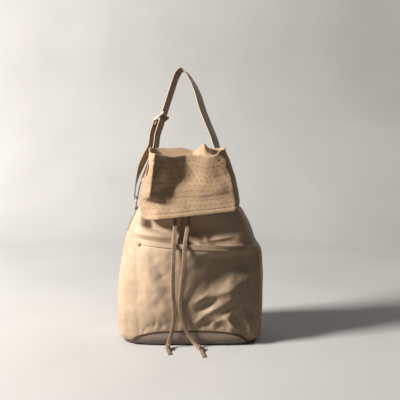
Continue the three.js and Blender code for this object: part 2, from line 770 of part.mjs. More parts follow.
// A point of the flap's standing rear part, which lies on the back panel at its foot. share runs from -1 to 1.
function rearPoint(share, z, inset) {
  const spread = lerp(REAR_FOOT_SHARE, 1, smooth(z, REAR_FOOT, WING_EDGE + WING_RISE));
  const point = hoodPoint(HALF_TURN - share * spread * (HALF_TURN - REAR_TURN - 0.03), z, inset);
  const clear = lerp(WRAP_GAP, 4 * WRAP_GAP, smooth(z, REAR_FOOT, SHOULDER_HEIGHT));
  const onPouch = Math.abs(point.x) < halfWidth(z) ? skinY(point.x, z, clear + SKIN - inset) : -Infinity;
  point.y = Math.max(point.y, onPouch);
  return point;
}

function rearSheet(columns, rows, reach, foot, top, outer, inner, bevel) {
  const face = (inset, drop) => (i, j) =>
    rearPoint(reach * ((2 * i) / columns - 1), lerp(foot, top - drop, j / rows), inset);
  return sheetSolid(columns, rows, face(outer, 0), face(inner, bevel));
}

const flapRear = () => rearSheet(20, 8, 1, REAR_FOOT, BACK_RIM - SKIN - GAP, 0, SKIN, REAR_BEVEL);
const flapSeamStrip = () =>
  rearSheet(20, 1, 0.94, REAR_FOOT + GAP, REAR_FOOT + STRIP_HEIGHT, -GAP - THIN_SKIN, -GAP, 0);

// Rings and side tabs

const TAB_BACK = { "-1": LEFT_TAB_BACK, 1: RIGHT_TAB_BACK };
const EYE_BORE = WIRE / 2 + RING_CLEAR;

// Centre of a ring: its wire passes a tab's eye, which just clears the pouch.
function ringCentre(side) {
  const { point, outward } = sidePlace(side, TAB_BACK[side], WIRE_LOW);
  const level = outward.clone().setZ(0);
  const offset = (EYE_BORE + TAB_EYE + WRAP_GAP + (TAB_WIDTH / 2) * Math.abs(level.y)) / level.lengthSq();
  return point.addScaledVector(level, offset).setZ(RING_HEIGHT);
}

// The strap turns about the line through both ring centres.
const RING_LEFT = ringCentre(-1);
const RING_RIGHT = ringCentre(1);
const AXIS_MIDDLE = RING_LEFT.clone().lerp(RING_RIGHT, 0.5);
const AXIS = RING_RIGHT.clone().sub(RING_LEFT).normalize();
const AXIS_YAW = Math.atan2(AXIS.y, AXIS.x);
const HALF_SPAN = RING_LEFT.distanceTo(RING_RIGHT) / 2;
const ACROSS_AXIS = new THREE.Vector3(-AXIS.y, AXIS.x, 0);

// Middle of a tab's leather, which eases off the pouch towards its top. climb runs from its foot to its top.
function tabPlace(side, climb) {
  const { point, outward } = sidePlace(side, TAB_BACK[side], TAB_TOP - TAB_FALL * (1 - climb));
  point.addScaledVector(outward, WRAP_GAP * (1 + 2 * climb) + TAB_THICK / 2);
  return { point, outward };
}

// A strip that lies on the pouch's side and turns to an eye round the ring's wire. side is -1 or 1.
function strapTab(side) {
  const rows = 6;
  const wire = (side < 0 ? RING_LEFT : RING_RIGHT).clone().setZ(WIRE_LOW);
  const line = [];
  const across = [];
  for (let j = 0; j <= rows; j++) {
    const { point, outward } = tabPlace(side, j / rows);
    line.push(point);
    across.push(new THREE.Vector3(-side * outward.y, side * outward.x, 0).normalize());
  }
  line.push(wire.clone().setZ(WIRE_LOW - EYE_BORE - TAB_EYE / 2));
  across.push(ACROSS_AXIS);
  const strip = ribbonSolid(
    line,
    (i) => across[i],
    () => TAB_WIDTH,
    TAB_THICK,
  );
  const bowed = RING_RADIUS - Math.sqrt(RING_RADIUS ** 2 - (TAB_WIDTH / 2) ** 2);
  const up = new THREE.Vector3(0, 0, 1);
  const turned = new THREE.Matrix4().makeBasis(AXIS, up, AXIS.clone().cross(up)).setPosition(wire);
  const slot = (radius, depth) => {
    const outline = new THREE.Shape();
    outline.absarc(0, 0, radius, Math.PI, 2 * Math.PI);
    outline.absarc(0, bowed, radius, 0, Math.PI);
    return new THREE.ExtrudeGeometry(outline, { depth, bevelEnabled: false, curveSegments: 6 })
      .translate(0, 0, -depth / 2)
      .applyMatrix4(turned);
  };
  return cut(joined(strip, slot(EYE_BORE + TAB_EYE, TAB_WIDTH)), slot(EYE_BORE, 2 * TAB_WIDTH));
}

// Strap, in the upright plane through the ring axis: x along the axis from its middle, z up from it

const TURN_RADIUS = WIRE / 2 + RING_CLEAR + STRAP_THICK / 2; // strap's middle round a ring's wire
const WIRE_BOW = RING_RADIUS - Math.sqrt(RING_RADIUS ** 2 - (STRAP_END_WIDTH / 2) ** 2);
const TURN_HEIGHT = RING_RADIUS - WIRE_BOW;

const runPoint = (side, [rise, way]) =>
  new THREE.Vector3(lerp(STRAP_PEAK_X, side * HALF_SPAN, way), 0, STRAP_RISE * rise);

// Half a turn under a ring's wire, from the -X side to the +X side.
function ringTurn(side) {
  return Array.from({ length: 9 }, (_, i) => {
    const angle = Math.PI * (1 + i / 8);
    const x = side * HALF_SPAN + TURN_RADIUS * Math.cos(angle);
    return new THREE.Vector3(x, 0, TURN_HEIGHT + TURN_RADIUS * Math.sin(angle));
  });
}

// The strap's main line, from the right ring over the peak and down to the left ring, where it arrives inside.
function strapCurve() {
  const right = ringTurn(1).pop();
  const left = ringTurn(-1).pop();
  const top = runPoint(-1, STRAIGHT_TOP);
  const foot = runPoint(-1, STRAIGHT_FOOT);
  const straight = Array.from({ length: 6 }, (_, i) => top.clone().lerp(foot, i / 5));
  return new THREE.CatmullRomCurve3([
    right,
    right.clone().setZ(TURN_HEIGHT + WIRE),
    ...RIGHT_RUN.map((shares) => runPoint(1, shares)),
    runPoint(1, [1, 0]),
    runPoint(-1, LEFT_TOP),
    ...straight,
    ...LEFT_RUN.map((shares) => runPoint(-1, shares)),
    left.clone().setZ(TURN_HEIGHT + WIRE),
    left,
  ]);
}

// The strap narrows to pass the rings, and turns its front edge to the left higher up.
const strapWidth = (z) => lerp(STRAP_END_WIDTH, STRAP_WIDTH, smooth(z, STRAP_RISE * 0.09, STRAP_RISE * 0.36));
function strapAcross(z) {
  const twist = STRAP_TWIST * smooth(z, STRAP_RISE * 0.13, STRAP_RISE * 0.45);
  return new THREE.Vector3(Math.sin(twist), Math.cos(twist), 0);
}

// A line at a distance off the strap's face: positive is on the left of its direction.
function beside(line, distanceAt) {
  return line.map((point, i) => {
    const along = line[Math.min(i + 1, line.length - 1)].clone().sub(line[Math.max(i - 1, 0)]);
    const square = along.cross(strapAcross(point.z)).normalize();
    return point.clone().addScaledVector(square, distanceAt(i));
  });
}

function strapStrip(line, thick) {
  return ribbonSolid(
    line,
    (i) => strapAcross(line[i].z),
    (i) => strapWidth(line[i].z),
    thick,
  );
}

const MAIN_LINE = strapCurve().getPoints(52);
const SLIDER_Z = STRAP_RISE * SLIDER_SHARE;
const STUB = 14; // outer end of the turn at the left ring, up to where the doubled run starts

// Slider bars in its own frame: the strap passes between the first two, its end is sewn round the third.
const LINK = new THREE.Vector3(Math.cos(SLIDER_TILT), 0, -Math.sin(SLIDER_TILT));
const BAR_PITCH = (STRAP_THICK + 2 * SLIDE_CLEAR + SLIDER_BAR) / Math.sin(SLIDER_TILT);
const INNER_BAR = LINK.clone().multiplyScalar(BAR_PITCH / 2);
const MIDDLE_BAR = LINK.clone().multiplyScalar(-BAR_PITCH / 2);
const SEWN_BAR = LINK.clone().multiplyScalar(-BAR_PITCH / 2 - SEWN_PITCH);
const LOOP_RADIUS = SLIDER_BAR / 2 + GAP + RETURN_THICK / 2; // strap end's middle round its bar
const RETURN_OFFSET = SEWN_BAR.z + LOOP_RADIUS;

// Slider's frame of reference: its middle on the strap, along, across and towards the outer side.
function sliderFrame() {
  const top = runPoint(-1, STRAIGHT_TOP);
  const foot = runPoint(-1, STRAIGHT_FOOT);
  const middle = foot.clone().lerp(top, (SLIDER_Z - foot.z) / (top.z - foot.z));
  const along = top.clone().sub(foot).normalize();
  const across = strapAcross(SLIDER_Z);
  across.addScaledVector(along, -across.dot(along)).normalize();
  const outward = along.clone().cross(across);
  return { middle, along, across, outward };
}

// Parts of the main line next to the rings.
const SLIDER = sliderFrame();
const RETURN_TOP = SEWN_BAR.x - LOOP_LEG - GAP; // in the slider's frame
const leftPart = MAIN_LINE.filter((point, i) => i > MAIN_LINE.length / 2 && point.z < SLIDER_Z + 1.2 * RETURN_TOP);
const rightPart = MAIN_LINE.filter((point, i) => i < MAIN_LINE.length / 2 && point.z < FOLD_LENGTH);

// The doubled run lies outside the main line, from the left ring up to the slider.
function returnLine() {
  const top = leftPart[0].z;
  const spread = (point) => {
    const climb = THREE.MathUtils.clamp((point.z - TURN_HEIGHT) / (top - TURN_HEIGHT), 0, 1);
    return lerp(2 * TURN_RADIUS, RETURN_OFFSET, climb) + RETURN_SLACK * Math.sin(Math.PI * climb) ** 2;
  };
  const end = SLIDER.middle.clone().addScaledVector(SLIDER.along, RETURN_TOP);
  end.addScaledVector(SLIDER.outward, RETURN_OFFSET);
  return [...beside(leftPart, (i) => -spread(leftPart[i])).reverse(), end];
}

// The folded end closes on the main line above the right ring.
function foldLine(outside) {
  return beside(rightPart, (i) => {
    const closing = smooth(rightPart[i].z, TURN_HEIGHT, FOLD_LENGTH);
    return lerp(2 * TURN_RADIUS, STRAP_THICK + GAP, closing) + outside;
  });
}

function strapLine() {
  const fold = foldLine(0).reverse();
  const stub = returnLine().filter((point) => point.z < TURN_HEIGHT + STUB);
  const rightTurn = ringTurn(1).slice(0, -1);
  const leftTurn = ringTurn(-1).reverse().slice(1);
  return [...fold.slice(0, -1), ...rightTurn, ...MAIN_LINE, ...leftTurn, ...stub.slice(1)];
}

function strapReturn() {
  const line = returnLine();
  const first = line.findIndex((point) => point.z >= TURN_HEIGHT + STUB);
  const start = line[first - 1].clone();
  const step = line[first].clone().sub(start).normalize();
  return strapStrip([start.addScaledVector(step, GAP), ...line.slice(first)], RETURN_THICK);
}

// Slider, in its own frame: x along the strap, y across it, z towards the outer side

// Two links side by side with two bars between them.
function sliderFrameSolid() {
  const inside = STRAP_WIDTH / 2 + CHEEK_CLEAR;
  const link = new THREE.Shape();
  link.absarc(INNER_BAR.x, INNER_BAR.z, CHEEK_RADIUS, -SLIDER_TILT - Math.PI / 2, Math.PI / 2 - SLIDER_TILT);
  link.absarc(SEWN_BAR.x, SEWN_BAR.z, CHEEK_RADIUS, Math.PI / 2 - SLIDER_TILT, 1.5 * Math.PI - SLIDER_TILT);
  const seat = new THREE.Path();
  seat.absarc(SEWN_BAR.x, SEWN_BAR.z, SLIDER_BAR / 2 + GAP, 0, 2 * Math.PI);
  link.holes.push(seat);
  const links = [-1, 1].map((side) =>
    new THREE.ExtrudeGeometry(link, { depth: CHEEK, bevelEnabled: false, curveSegments: 8 })
      .rotateX(Math.PI / 2)
      .translate(0, side > 0 ? inside + CHEEK : -inside, 0),
  );
  const bars = [INNER_BAR, MIDDLE_BAR].map((at) => sliderRod(2 * inside + CHEEK, at));
  return joined(...links, ...bars);
}

const sliderRod = (length, at) =>
  new THREE.CylinderGeometry(SLIDER_BAR / 2, SLIDER_BAR / 2, length, 12).translate(at.x, at.y, at.z);
const sliderBar = () => sliderRod(STRAP_WIDTH + 2 * CHEEK_CLEAR + 2 * CHEEK, SEWN_BAR);

// The strap's end, sewn round its bar.
function returnLoop() {
  const over = Array.from({ length: 9 }, (_, i) => {
    const angle = Math.PI * (0.5 - i / 8);
    return new THREE.Vector3(LOOP_RADIUS * Math.cos(angle), 0, LOOP_RADIUS * Math.sin(angle)).add(SEWN_BAR);
  });
  const outerLeg = new THREE.Vector3(-LOOP_LEG, 0, LOOP_RADIUS).add(SEWN_BAR);
  const innerLeg = new THREE.Vector3(-LOOP_LEG * 0.8, 0, -LOOP_RADIUS).add(SEWN_BAR);
  const across = new THREE.Vector3(0, 1, 0);
  return ribbonSolid(
    [outerLeg, ...over, innerLeg],
    () => across,
    () => STRAP_WIDTH,
    RETURN_THICK,
  );
}

// Finishes

const finish = (color, roughness, metalness = 0) => () =>
  new THREE.MeshStandardMaterial({ color, roughness, metalness });
const pouchLeather = finish(0xa88c70, 0.55);
const flapLeather = finish(0xb08a68, 0.6);
const baseLeather = finish(0x8f7868, 0.6);
const strapLeather = finish(0xa58a70, 0.55);
const cordLeather = finish(0xb59a7c, 0.6);
const liningCloth = finish(0x6d5c4c, 0.9);
const boardFibre = finish(0x5a4a3c, 0.9);
const nickel = finish(0xb9b2a6, 0.3, 1);

// Assembly

const bag = new THREE.Group();

function place(parent, name, geometry, material) {
  const mesh = new THREE.Mesh(geometry, material());
  mesh.name = name;
  parent.add(mesh);
  return mesh;
}

// Sets a rivet on a surface: its back a gap above `point`, its dome along `outward`.
function setRivet(parent, name, point, outward) {
  const rivet = place(parent, name, rivetHead(), nickel);
  rivet.quaternion.setFromUnitVectors(new THREE.Vector3(0, 0, 1), outward.clone().normalize());
  rivet.position.copy(point).addScaledVector(outward.clone().normalize(), GAP);
}

place(bag, "base_panel", basePanel(), baseLeather);
place(bag, "base_board", baseBoard(), boardFibre);
place(bag, "front_panel", pouchPanel(-1, []), pouchLeather);
place(bag, "back_panel", pouchPanel(1, BACK_FOLDS), pouchLeather);
place(bag, "lining", liningBag(), liningCloth);
place(bag, "pocket_panel", pocketPanel(), pouchLeather);
place(bag, "pocket_hem", pocketHem(), pouchLeather);
place(bag, "mouth_casing", mouthCasing(), pouchLeather);
place(bag, "drawstring_loop", drawstringLoop(), cordLeather);
place(bag, "flap_rear", flapRear(), flapLeather);
place(bag, "flap_seam_strip", flapSeamStrip(), flapLeather);
place(bag, "flap_cover", flapCover(), flapLeather);
place(bag, "flap_facing", flapFacing(), flapLeather);

for (const side of ["left", "right"]) {
  const sign = side === "left" ? -1 : 1;
  place(bag, `eyelet_${side}`, eyelet(EYELETS[side]), nickel);
  place(bag, `strap_tab_${side}`, strapTab(sign), strapLeather);

  const { point, outward } = tabPlace(sign, 0.4);
  setRivet(bag, `tab_rivet_${side}`, point.addScaledVector(outward, TAB_THICK / 2), outward);

  const rivetX = sign * (POCKET_WIDTH / 2 - POCKET_RIVET_INSET);
  const hem = (dx, dz) =>
    pocketPoint(rivetX + dx, pocketMouth(rivetX) - HEM_HEIGHT / 2 + dz, SKIN + GAP + THIN_SKIN);
  const forwards = new THREE.Vector3(0, -1, 0);
  setRivet(bag, `pocket_rivet_${side}`, hem(0, 0), squareTo(hem(0, 0), hem(1, 0), hem(0, 1), forwards));
}

place(bag, "drawstring_left", cordRun(TAIL_LEFT, 40), cordLeather);
place(bag, "drawstring_right", cordRun(TAIL_RIGHT, 40), cordLeather);
place(bag, "cord_end_left", cordRun(END_LEFT, 6), cordLeather);
place(bag, "cord_end_right", cordRun(END_RIGHT, 8), cordLeather);
const knots = { left: [KNOT_LEFT, END_LEFT], right: [KNOT_RIGHT, END_RIGHT] };
for (const [side, [middle, end]] of Object.entries(knots)) {
  const knot = place(bag, `knot_${side}`, knotLump(), cordLeather);
  knot.position.set(...middle);
  knot.rotation.z = Math.atan2(end[0][1] - middle[1], end[0][0] - middle[0]) + Math.PI / 2;
}

// Everything that swings with the strap leans back about the ring axis.
const strapGroup = new THREE.Group();
strapGroup.position.copy(AXIS_MIDDLE);
strapGroup.rotation.set(-STRAP_LEAN, 0, AXIS_YAW, "ZXY");
bag.add(strapGroup);
place(strapGroup, "strap", strapStrip(strapLine(), STRAP_THICK), strapLeather);
place(strapGroup, "strap_return", strapReturn(), strapLeather);
for (const [name, side] of [["ring_left", -1], ["ring_right", 1]])
  place(strapGroup, name, new THREE.TorusGeometry(RING_RADIUS, WIRE / 2, 8, 20), nickel)
    .rotateY(Math.PI / 2)
    .position.setX(side * HALF_SPAN);

const foldMiddle = rightPart.findLastIndex((point) => point.z < FOLD_LENGTH * 0.6);
const [foldFace, foldCore] = [foldLine(STRAP_THICK / 2 + 2 * GAP), foldLine(0)];
const foldInward = foldFace[foldMiddle].clone().sub(foldCore[foldMiddle]);
setRivet(strapGroup, "strap_rivet", foldFace[foldMiddle], foldInward);

const sliderGroup = new THREE.Group();
const sliderTurn = new THREE.Matrix4().makeBasis(SLIDER.along, SLIDER.across, SLIDER.outward);
sliderGroup.applyMatrix4(sliderTurn.setPosition(SLIDER.middle));
strapGroup.add(sliderGroup);
place(sliderGroup, "slider_frame", sliderFrameSolid(), nickel);
place(sliderGroup, "slider_bar", sliderBar(), nickel);
place(sliderGroup, "return_loop", returnLoop(), strapLeather);

export default bag;
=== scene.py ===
# %% [markdown]
# # A soft leather shoulder bag, dressed around its solid model
#
# The bag is a bell-shaped drawstring pouch with a front pocket, a boat-shaped base, a folded flap over its
# gathered mouth and one long strap on two side rings. The solid model gives every piece its place. Here each
# soft piece gets its folds, seams and stitches, and each surface its finish.

import bmesh
import bpy
import numpy as np
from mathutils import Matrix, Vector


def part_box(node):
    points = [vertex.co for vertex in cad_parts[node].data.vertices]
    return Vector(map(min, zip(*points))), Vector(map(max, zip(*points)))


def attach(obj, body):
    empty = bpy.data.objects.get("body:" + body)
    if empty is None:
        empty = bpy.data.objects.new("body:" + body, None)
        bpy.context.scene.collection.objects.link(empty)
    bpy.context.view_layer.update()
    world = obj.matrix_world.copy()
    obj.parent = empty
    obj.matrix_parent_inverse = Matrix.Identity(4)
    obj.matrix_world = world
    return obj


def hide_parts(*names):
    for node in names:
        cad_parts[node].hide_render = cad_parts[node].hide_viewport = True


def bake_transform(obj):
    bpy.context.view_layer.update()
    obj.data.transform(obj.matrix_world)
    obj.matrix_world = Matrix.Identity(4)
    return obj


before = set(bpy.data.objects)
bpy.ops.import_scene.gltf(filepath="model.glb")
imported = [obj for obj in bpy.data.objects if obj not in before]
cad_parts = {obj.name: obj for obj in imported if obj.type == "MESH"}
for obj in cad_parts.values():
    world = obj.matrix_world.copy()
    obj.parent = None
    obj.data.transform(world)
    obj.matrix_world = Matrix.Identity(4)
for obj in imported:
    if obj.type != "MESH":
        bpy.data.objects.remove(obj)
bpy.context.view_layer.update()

# %% [markdown]
# ## Camera
#
# The photograph looks slightly down from the front, from a little over a metre away. Its lens was worked out
# from the base's ellipse: 548 pixels of focal length in a frame of 400.

# %% Camera
MM = 0.001
LENS_PIXELS, FRAME_PIXELS, SENSOR = 548, 400, 36.0
PITCH_DOWN = np.radians(6.9)


def add_object(name, data):
    """A new object in the scene."""
    made = bpy.data.objects.new(name, data)
    bpy.context.scene.collection.objects.link(made)
    return made


camera = bpy.data.cameras.new("view")
camera.sensor_fit = "HORIZONTAL"
camera.sensor_width = SENSOR
camera.lens = LENS_PIXELS / FRAME_PIXELS * SENSOR
view = add_object("view", camera)
view.location = (0.021, -1.150, 0.430)
view.rotation_euler = (np.pi / 2 - PITCH_DOWN, 0, 0)
bpy.context.scene.camera = view
print("camera lens", round(camera.lens, 1), "mm")

# %% [markdown]
# ## Surfaces as arrays
#
# Leather is a sheet, so nearly every piece is a grid of points: a function of two parameters, worked out for
# all points at once. Lengths are in millimetres until a mesh is made. A strap or cord is an outline carried
# along a path. A few lines of mesh code weld the points that coincide, such as the pole at a strip's end.


# %% Grids and pieces
def grid_quads(rows, columns, ring=False):
    """Corner numbers of a grid's quads, row by row; a ring joins its last column to its first."""
    i, j = np.meshgrid(np.arange(columns if ring else columns - 1), np.arange(rows - 1))
    corner_i = np.stack([i, i + 1, i + 1, i], -1).reshape(-1, 4) % columns
    corner_j = np.stack([j, j, j + 1, j + 1], -1).reshape(-1, 4)
    return corner_j * columns + corner_i


def stacked(*parts):
    """Coordinates brought to one shape and set side by side as points."""
    return np.stack(np.broadcast_arrays(*parts), -1)


def full_turn(count):
    """Angles spread evenly over a full turn."""
    return np.linspace(0, 2 * np.pi, count, endpoint=False)


def unit(vectors):
    """Vectors divided by their length."""
    return vectors / np.maximum(np.linalg.norm(vectors, axis=-1, keepdims=True), 1e-9)


def grid_normals(points, ring=False):
    """Directions square to a grid: the cross product of its steps along both parameters."""
    along = np.gradient(points, axis=0)
    around = (np.roll(points, -1, 1) - np.roll(points, 1, 1)) / 2 if ring else np.gradient(points, axis=1)
    return unit(np.cross(around, along))


def add_piece(name, points, quads, finish, body, stands_for=(), inside=(0, 0, 0), uv=None, thick=0.0):
    """A mesh from points in millimetres, with its faces turned away from `inside`, riding on a body.

    The sum of (a x b) . c over all triangles, measured from `inside`, is positive where the faces point away.
    """
    flat = points.reshape(-1, 3)
    a, b, c, d = (flat[quads[:, k]] - np.array(inside, float) for k in range(4))
    facing = np.sum(a * np.cross(b, c)) + np.sum(a * np.cross(c, d))
    if facing < 0:
        quads = quads[:, ::-1]
    mesh = bpy.data.meshes.new(name)
    mesh.from_pydata((flat * MM).tolist(), [], quads.tolist())
    if uv is not None:
        layer = mesh.uv_layers.new(name="UVMap")
        layer.data.foreach_set("uv", (uv.reshape(-1, 2)[quads.ravel()] * MM).ravel())
    work = bmesh.new()
    work.from_mesh(mesh)
    bmesh.ops.remove_doubles(work, verts=work.verts, dist=1e-6)
    work.to_mesh(mesh)
    work.free()
    mesh.shade_smooth()
    mesh.materials.append(finish.material)
    piece = add_object(name, mesh)
    if thick:
        wall = piece.modifiers.new("leather", "SOLIDIFY")
        wall.thickness = thick * MM
        wall.offset = -1
    if body:
        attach(piece, body)
    if stands_for:
        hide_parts(*stands_for)
    print(name, len(mesh.vertices), "points")
    return piece


def add_grid(name, points, finish, body, stands_for=(), ring=False, **more):
    """A piece whose points form a grid."""
    return add_piece(name, points, grid_quads(*points.shape[:2], ring), finish, body, stands_for, **more)


# %% Outlines carried along paths
def signed_power(value, power):
    """|value| to a power, with the sign kept."""
    return np.sign(value) * np.abs(value) ** power


def smooth(value, low, high):
    """0 below low, 1 above high, and 3t^2 - 2t^3 between."""
    t = np.clip((value - low) / (high - low), 0, 1)
    return t * t * (3 - 2 * t)


def bump(value, middle, width):
    """A bell: exp(-((value - middle) / width)^2)."""
    return np.exp(-(((value - middle) / width) ** 2))


def strip_outline(width, thick, count=24, square=5.0):
    """A superellipse: half the width and half the thickness times powers of cosine and sine."""
    turn = np.arange(count) * 2 * np.pi / count
    across = width / 2 * signed_power(np.cos(turn), 2 / square)
    return np.stack([across, thick / 2 * signed_power(np.sin(turn), 2 / square)], -1)


def sweep(path, across, outline, closed=False):
    """An outline on each point of a path: its first axis along `across`, its second square to both.

    `across` is one direction for the whole path, or one for each point.
    """
    ahead = np.roll(path, -1, 0) - np.roll(path, 1, 0) if closed else np.gradient(path, axis=0)
    ahead = unit(ahead)
    wide = unit(across - np.sum(across * ahead, -1, keepdims=True) * ahead)
    up = np.cross(ahead, wide)
    return path[:, None] + wide[:, None] * outline[..., 0:1] + up[:, None] * outline[..., 1:2]


def capped(sections):
    """Sections with a pole at either end, which closes the strip."""
    ends = [np.broadcast_to(s.mean(0), s.shape)[None] for s in (sections[0], sections[-1])]
    return np.concatenate([ends[0], sections, ends[1]])


def looped(sections):
    """Sections with the first one repeated at the end, which closes a loop."""
    return np.concatenate([sections, sections[:1]])


def lengths(path):
    """Distance along a path at each of its points."""
    steps = np.linalg.norm(np.diff(path, axis=0), axis=1)
    return np.concatenate([[0], np.cumsum(steps)])


def even(path, count):
    """The same path with its points evenly spaced."""
    run = lengths(path)
    places = np.linspace(0, run[-1], count)
    return np.stack([np.interp(places, run, path[:, k]) for k in range(3)], -1)


def spline(points, count):
    """A centripetal Catmull-Rom curve through the points: straight lines, blended twice over."""
    p = np.vstack([2 * points[0] - points[1], points, 2 * points[-1] - points[-2]])
    knot = np.concatenate([[0], np.cumsum(np.sqrt(np.linalg.norm(np.diff(p, axis=0), axis=1)))])
    p0, p1, p2, p3 = (p[k : len(p) - 3 + k, None] for k in range(4))
    k0, k1, k2, k3 = (knot[k : len(p) - 3 + k, None, None] for k in range(4))
    t = k1 + (k2 - k1) * np.linspace(0, 1, 24, endpoint=False)[None, :, None]
    a1 = p0 + (p1 - p0) * (t - k0) / (k1 - k0)
    a2 = p1 + (p2 - p1) * (t - k1) / (k2 - k1)
    a3 = p2 + (p3 - p2) * (t - k2) / (k3 - k2)
    b1 = a1 + (a2 - a1) * (t - k0) / (k2 - k0)
    b2 = a2 + (a3 - a2) * (t - k1) / (k3 - k1)
    curve = b1 + (b2 - b1) * (t - k1) / (k2 - k1)
    return even(np.vstack([curve.reshape(-1, 3), points[-1:]]), count)


def add_strip(name, path, across, outline, finish, body, **more):
    """A closed strip along a path. Its UV map holds millimetres across it and along it."""
    sections = capped(sweep(path, across, outline))
    run = lengths(path)
    along = np.concatenate([[0], run, [run[-1]]])
    widths = np.broadcast_to(outline[..., 0], (len(path), sections.shape[1]))
    wide = np.vstack([widths[:1], widths, widths[-1:]])
    uv = stacked(wide, along[:, None])
    return add_grid(name, sections, finish, body, ring=True, uv=uv, inside=path[0], **more)


# %% [markdown]
# ## Shader maths as Python
#
# A finish is easier to read as sums and products than as a picture of nodes. `Wire` wraps one socket: an
# expression on wires adds Math nodes, and `node` makes any other node with its settings and inputs.


# %% Wires
class Wire:
    """One socket of a node tree that works in Python expressions."""

    def __init__(self, tree, socket=None):
        self.tree = tree
        self.socket = socket

    def node(self, kind, settings=None, sockets=None, output=0):
        """Any shader node: settings first, then the values or wires of its sockets."""
        made = self.tree.nodes.new("ShaderNode" + kind)
        for key, value in (settings or {}).items():
            setattr(made, key, value)
        for key, value in (sockets or {}).items():
            self.join(value, made.inputs[key])
        return Wire(self.tree, made.outputs[output])

    def join(self, value, target):
        """Links a wire to a socket, or sets a plain value on it."""
        if isinstance(value, Wire):
            self.tree.links.new(value.socket, target)
        else:
            target.default_value = value

    def math(self, operation, first, second=0.0):
        """One Math node: an operation on two values."""
        return self.node("Math", {"operation": operation}, {0: first, 1: second})

    def __add__(self, other):
        return self.math("ADD", self, other)

    __radd__ = __add__

    def __sub__(self, other):
        return self.math("SUBTRACT", self, other)

    def __rsub__(self, other):
        return self.math("SUBTRACT", other, self)

    def __mul__(self, other):
        return self.math("MULTIPLY", self, other)

    __rmul__ = __mul__

    def __pow__(self, other):
        return self.math("POWER", self, other)

    def __gt__(self, other):
        return self.math("GREATER_THAN", self, other)

    def __abs__(self):
        return self.math("ABSOLUTE", self)

    def sine(self):
        """The sine of an angle in radians."""
        return self.math("SINE", self)

    def within(self, low, high):
        """0 at low and below, 1 at high and above."""
        return self.node("MapRange", {}, {"Value": self, "From Min": low, "From Max": high})

    def blend(self, first, second):
        """A colour between two, with this wire as the share of the second."""
        return self.node("Mix", {"data_type": "RGBA"}, {0: self, 6: first, 7: second}, 2)

    def stretched(self, scale):
        """A vector times another, component by component."""
        return self.node("VectorMath", {"operation": "MULTIPLY"}, {0: self, 1: scale})

    def noise(self, scale, detail=3.0):
        """Soft noise with about `scale` lumps to the unit."""
        return self.node("TexNoise", {}, {"Vector": self, "Scale": scale, "Detail": detail})

    def cells(self, scale):
        """Distance to the nearest of many scattered points."""
        return self.node("TexVoronoi", {}, {"Vector": self, "Scale": scale}, "Distance")

    def part(self, axis):
        """One of a vector's three components."""
        return self.node("SeparateXYZ", {}, {0: self}, axis)


def colour(red, green, blue):
    """A screen colour from 0 to 255 as a linear one."""
    share = np.array([red, green, blue]) / 255
    linear = np.where(share < 0.04045, share / 12.92, ((share + 0.055) / 1.055) ** 2.4)
    return (*map(float, linear), 1.0)


class Finish:
    """A new material with its main shader and its two coordinate wires."""

    def __init__(self, name, slot=None):
        self.material = bpy.data.materials.new(name)
        self.material.use_nodes = True
        self.material["slot"] = slot or name
        tree = self.material.node_tree
        self.shader = tree.nodes["Principled BSDF"]
        self.tree = Wire(tree)
        self.place = self.tree.node("TexCoord", output="Object")
        self.cloth = self.tree.node("UVMap")

    def give(self, **sockets):
        """Sets the main shader's sockets, named with _ for a space."""
        for key, value in sockets.items():
            self.tree.join(value, self.shader.inputs[key.replace("_", " ")])

    def raised(self, height, distance, strength=1.0):
        """A bump of a height, in metres at its full value."""
        sockets = {"Height": height, "Distance": distance, "Strength": strength}
        self.give(Normal=self.tree.node("Bump", {}, sockets))


# %% [markdown]
# ## Finishes
#
# Pouch, base, strap and cord are one family of leather: a fine pebbled grain, paler where the hide was pulled
# and darker in its pores. The flap is a coarser weave with slubs. All patterns are measured in metres on the
# piece itself, so they keep their real size.


# %% Leathers
def leather(name, base, deep, pale, grain=900.0, depth=0.00035, dull=0.5, slot=None):
    """Grained leather: three tones mixed by broad and fine noise, pebbles and pores as bump."""
    made = Finish(name, slot)
    place = made.place
    broad = place.noise(9.0, 3.0).within(0.3, 0.7)
    fine = place.noise(75.0, 5.0).within(0.38, 0.68)
    pebbles = place.cells(grain)
    pores = place.noise(grain * 2.4, 2.0)
    pulled = place.noise(38.0, 3.0)
    crease = (1.0 - abs(pulled - 0.5) * 14.0).within(0.0, 1.0) * broad
    tone = broad.blend(deep, base)
    tone = (fine * 0.35).blend(tone, pale)
    tone = (crease * 0.16).blend(tone, deep)
    tone = (pebbles.within(0.45, 0.8) * 0.22).blend(tone, deep)
    made.give(Base_Color=tone, Roughness=dull + 0.16 * fine - 0.08 * broad)
    made.raised(pores * 0.35 - pebbles * 0.8 - crease * 0.5, depth, 0.8)
    made.give(Specular_IOR_Level=0.42, Sheen_Weight=0.12, Sheen_Roughness=0.5)
    return made


pouch_leather = leather("pouch_leather", colour(191, 164, 135), colour(174, 146, 118), colour(208, 182, 153))
base_leather = leather(
    "base_leather", colour(166, 144, 128), colour(146, 126, 112), colour(186, 165, 148),
    grain=1300.0, dull=0.55,
)
print("leathers", pouch_leather.material.name, base_leather.material.name)


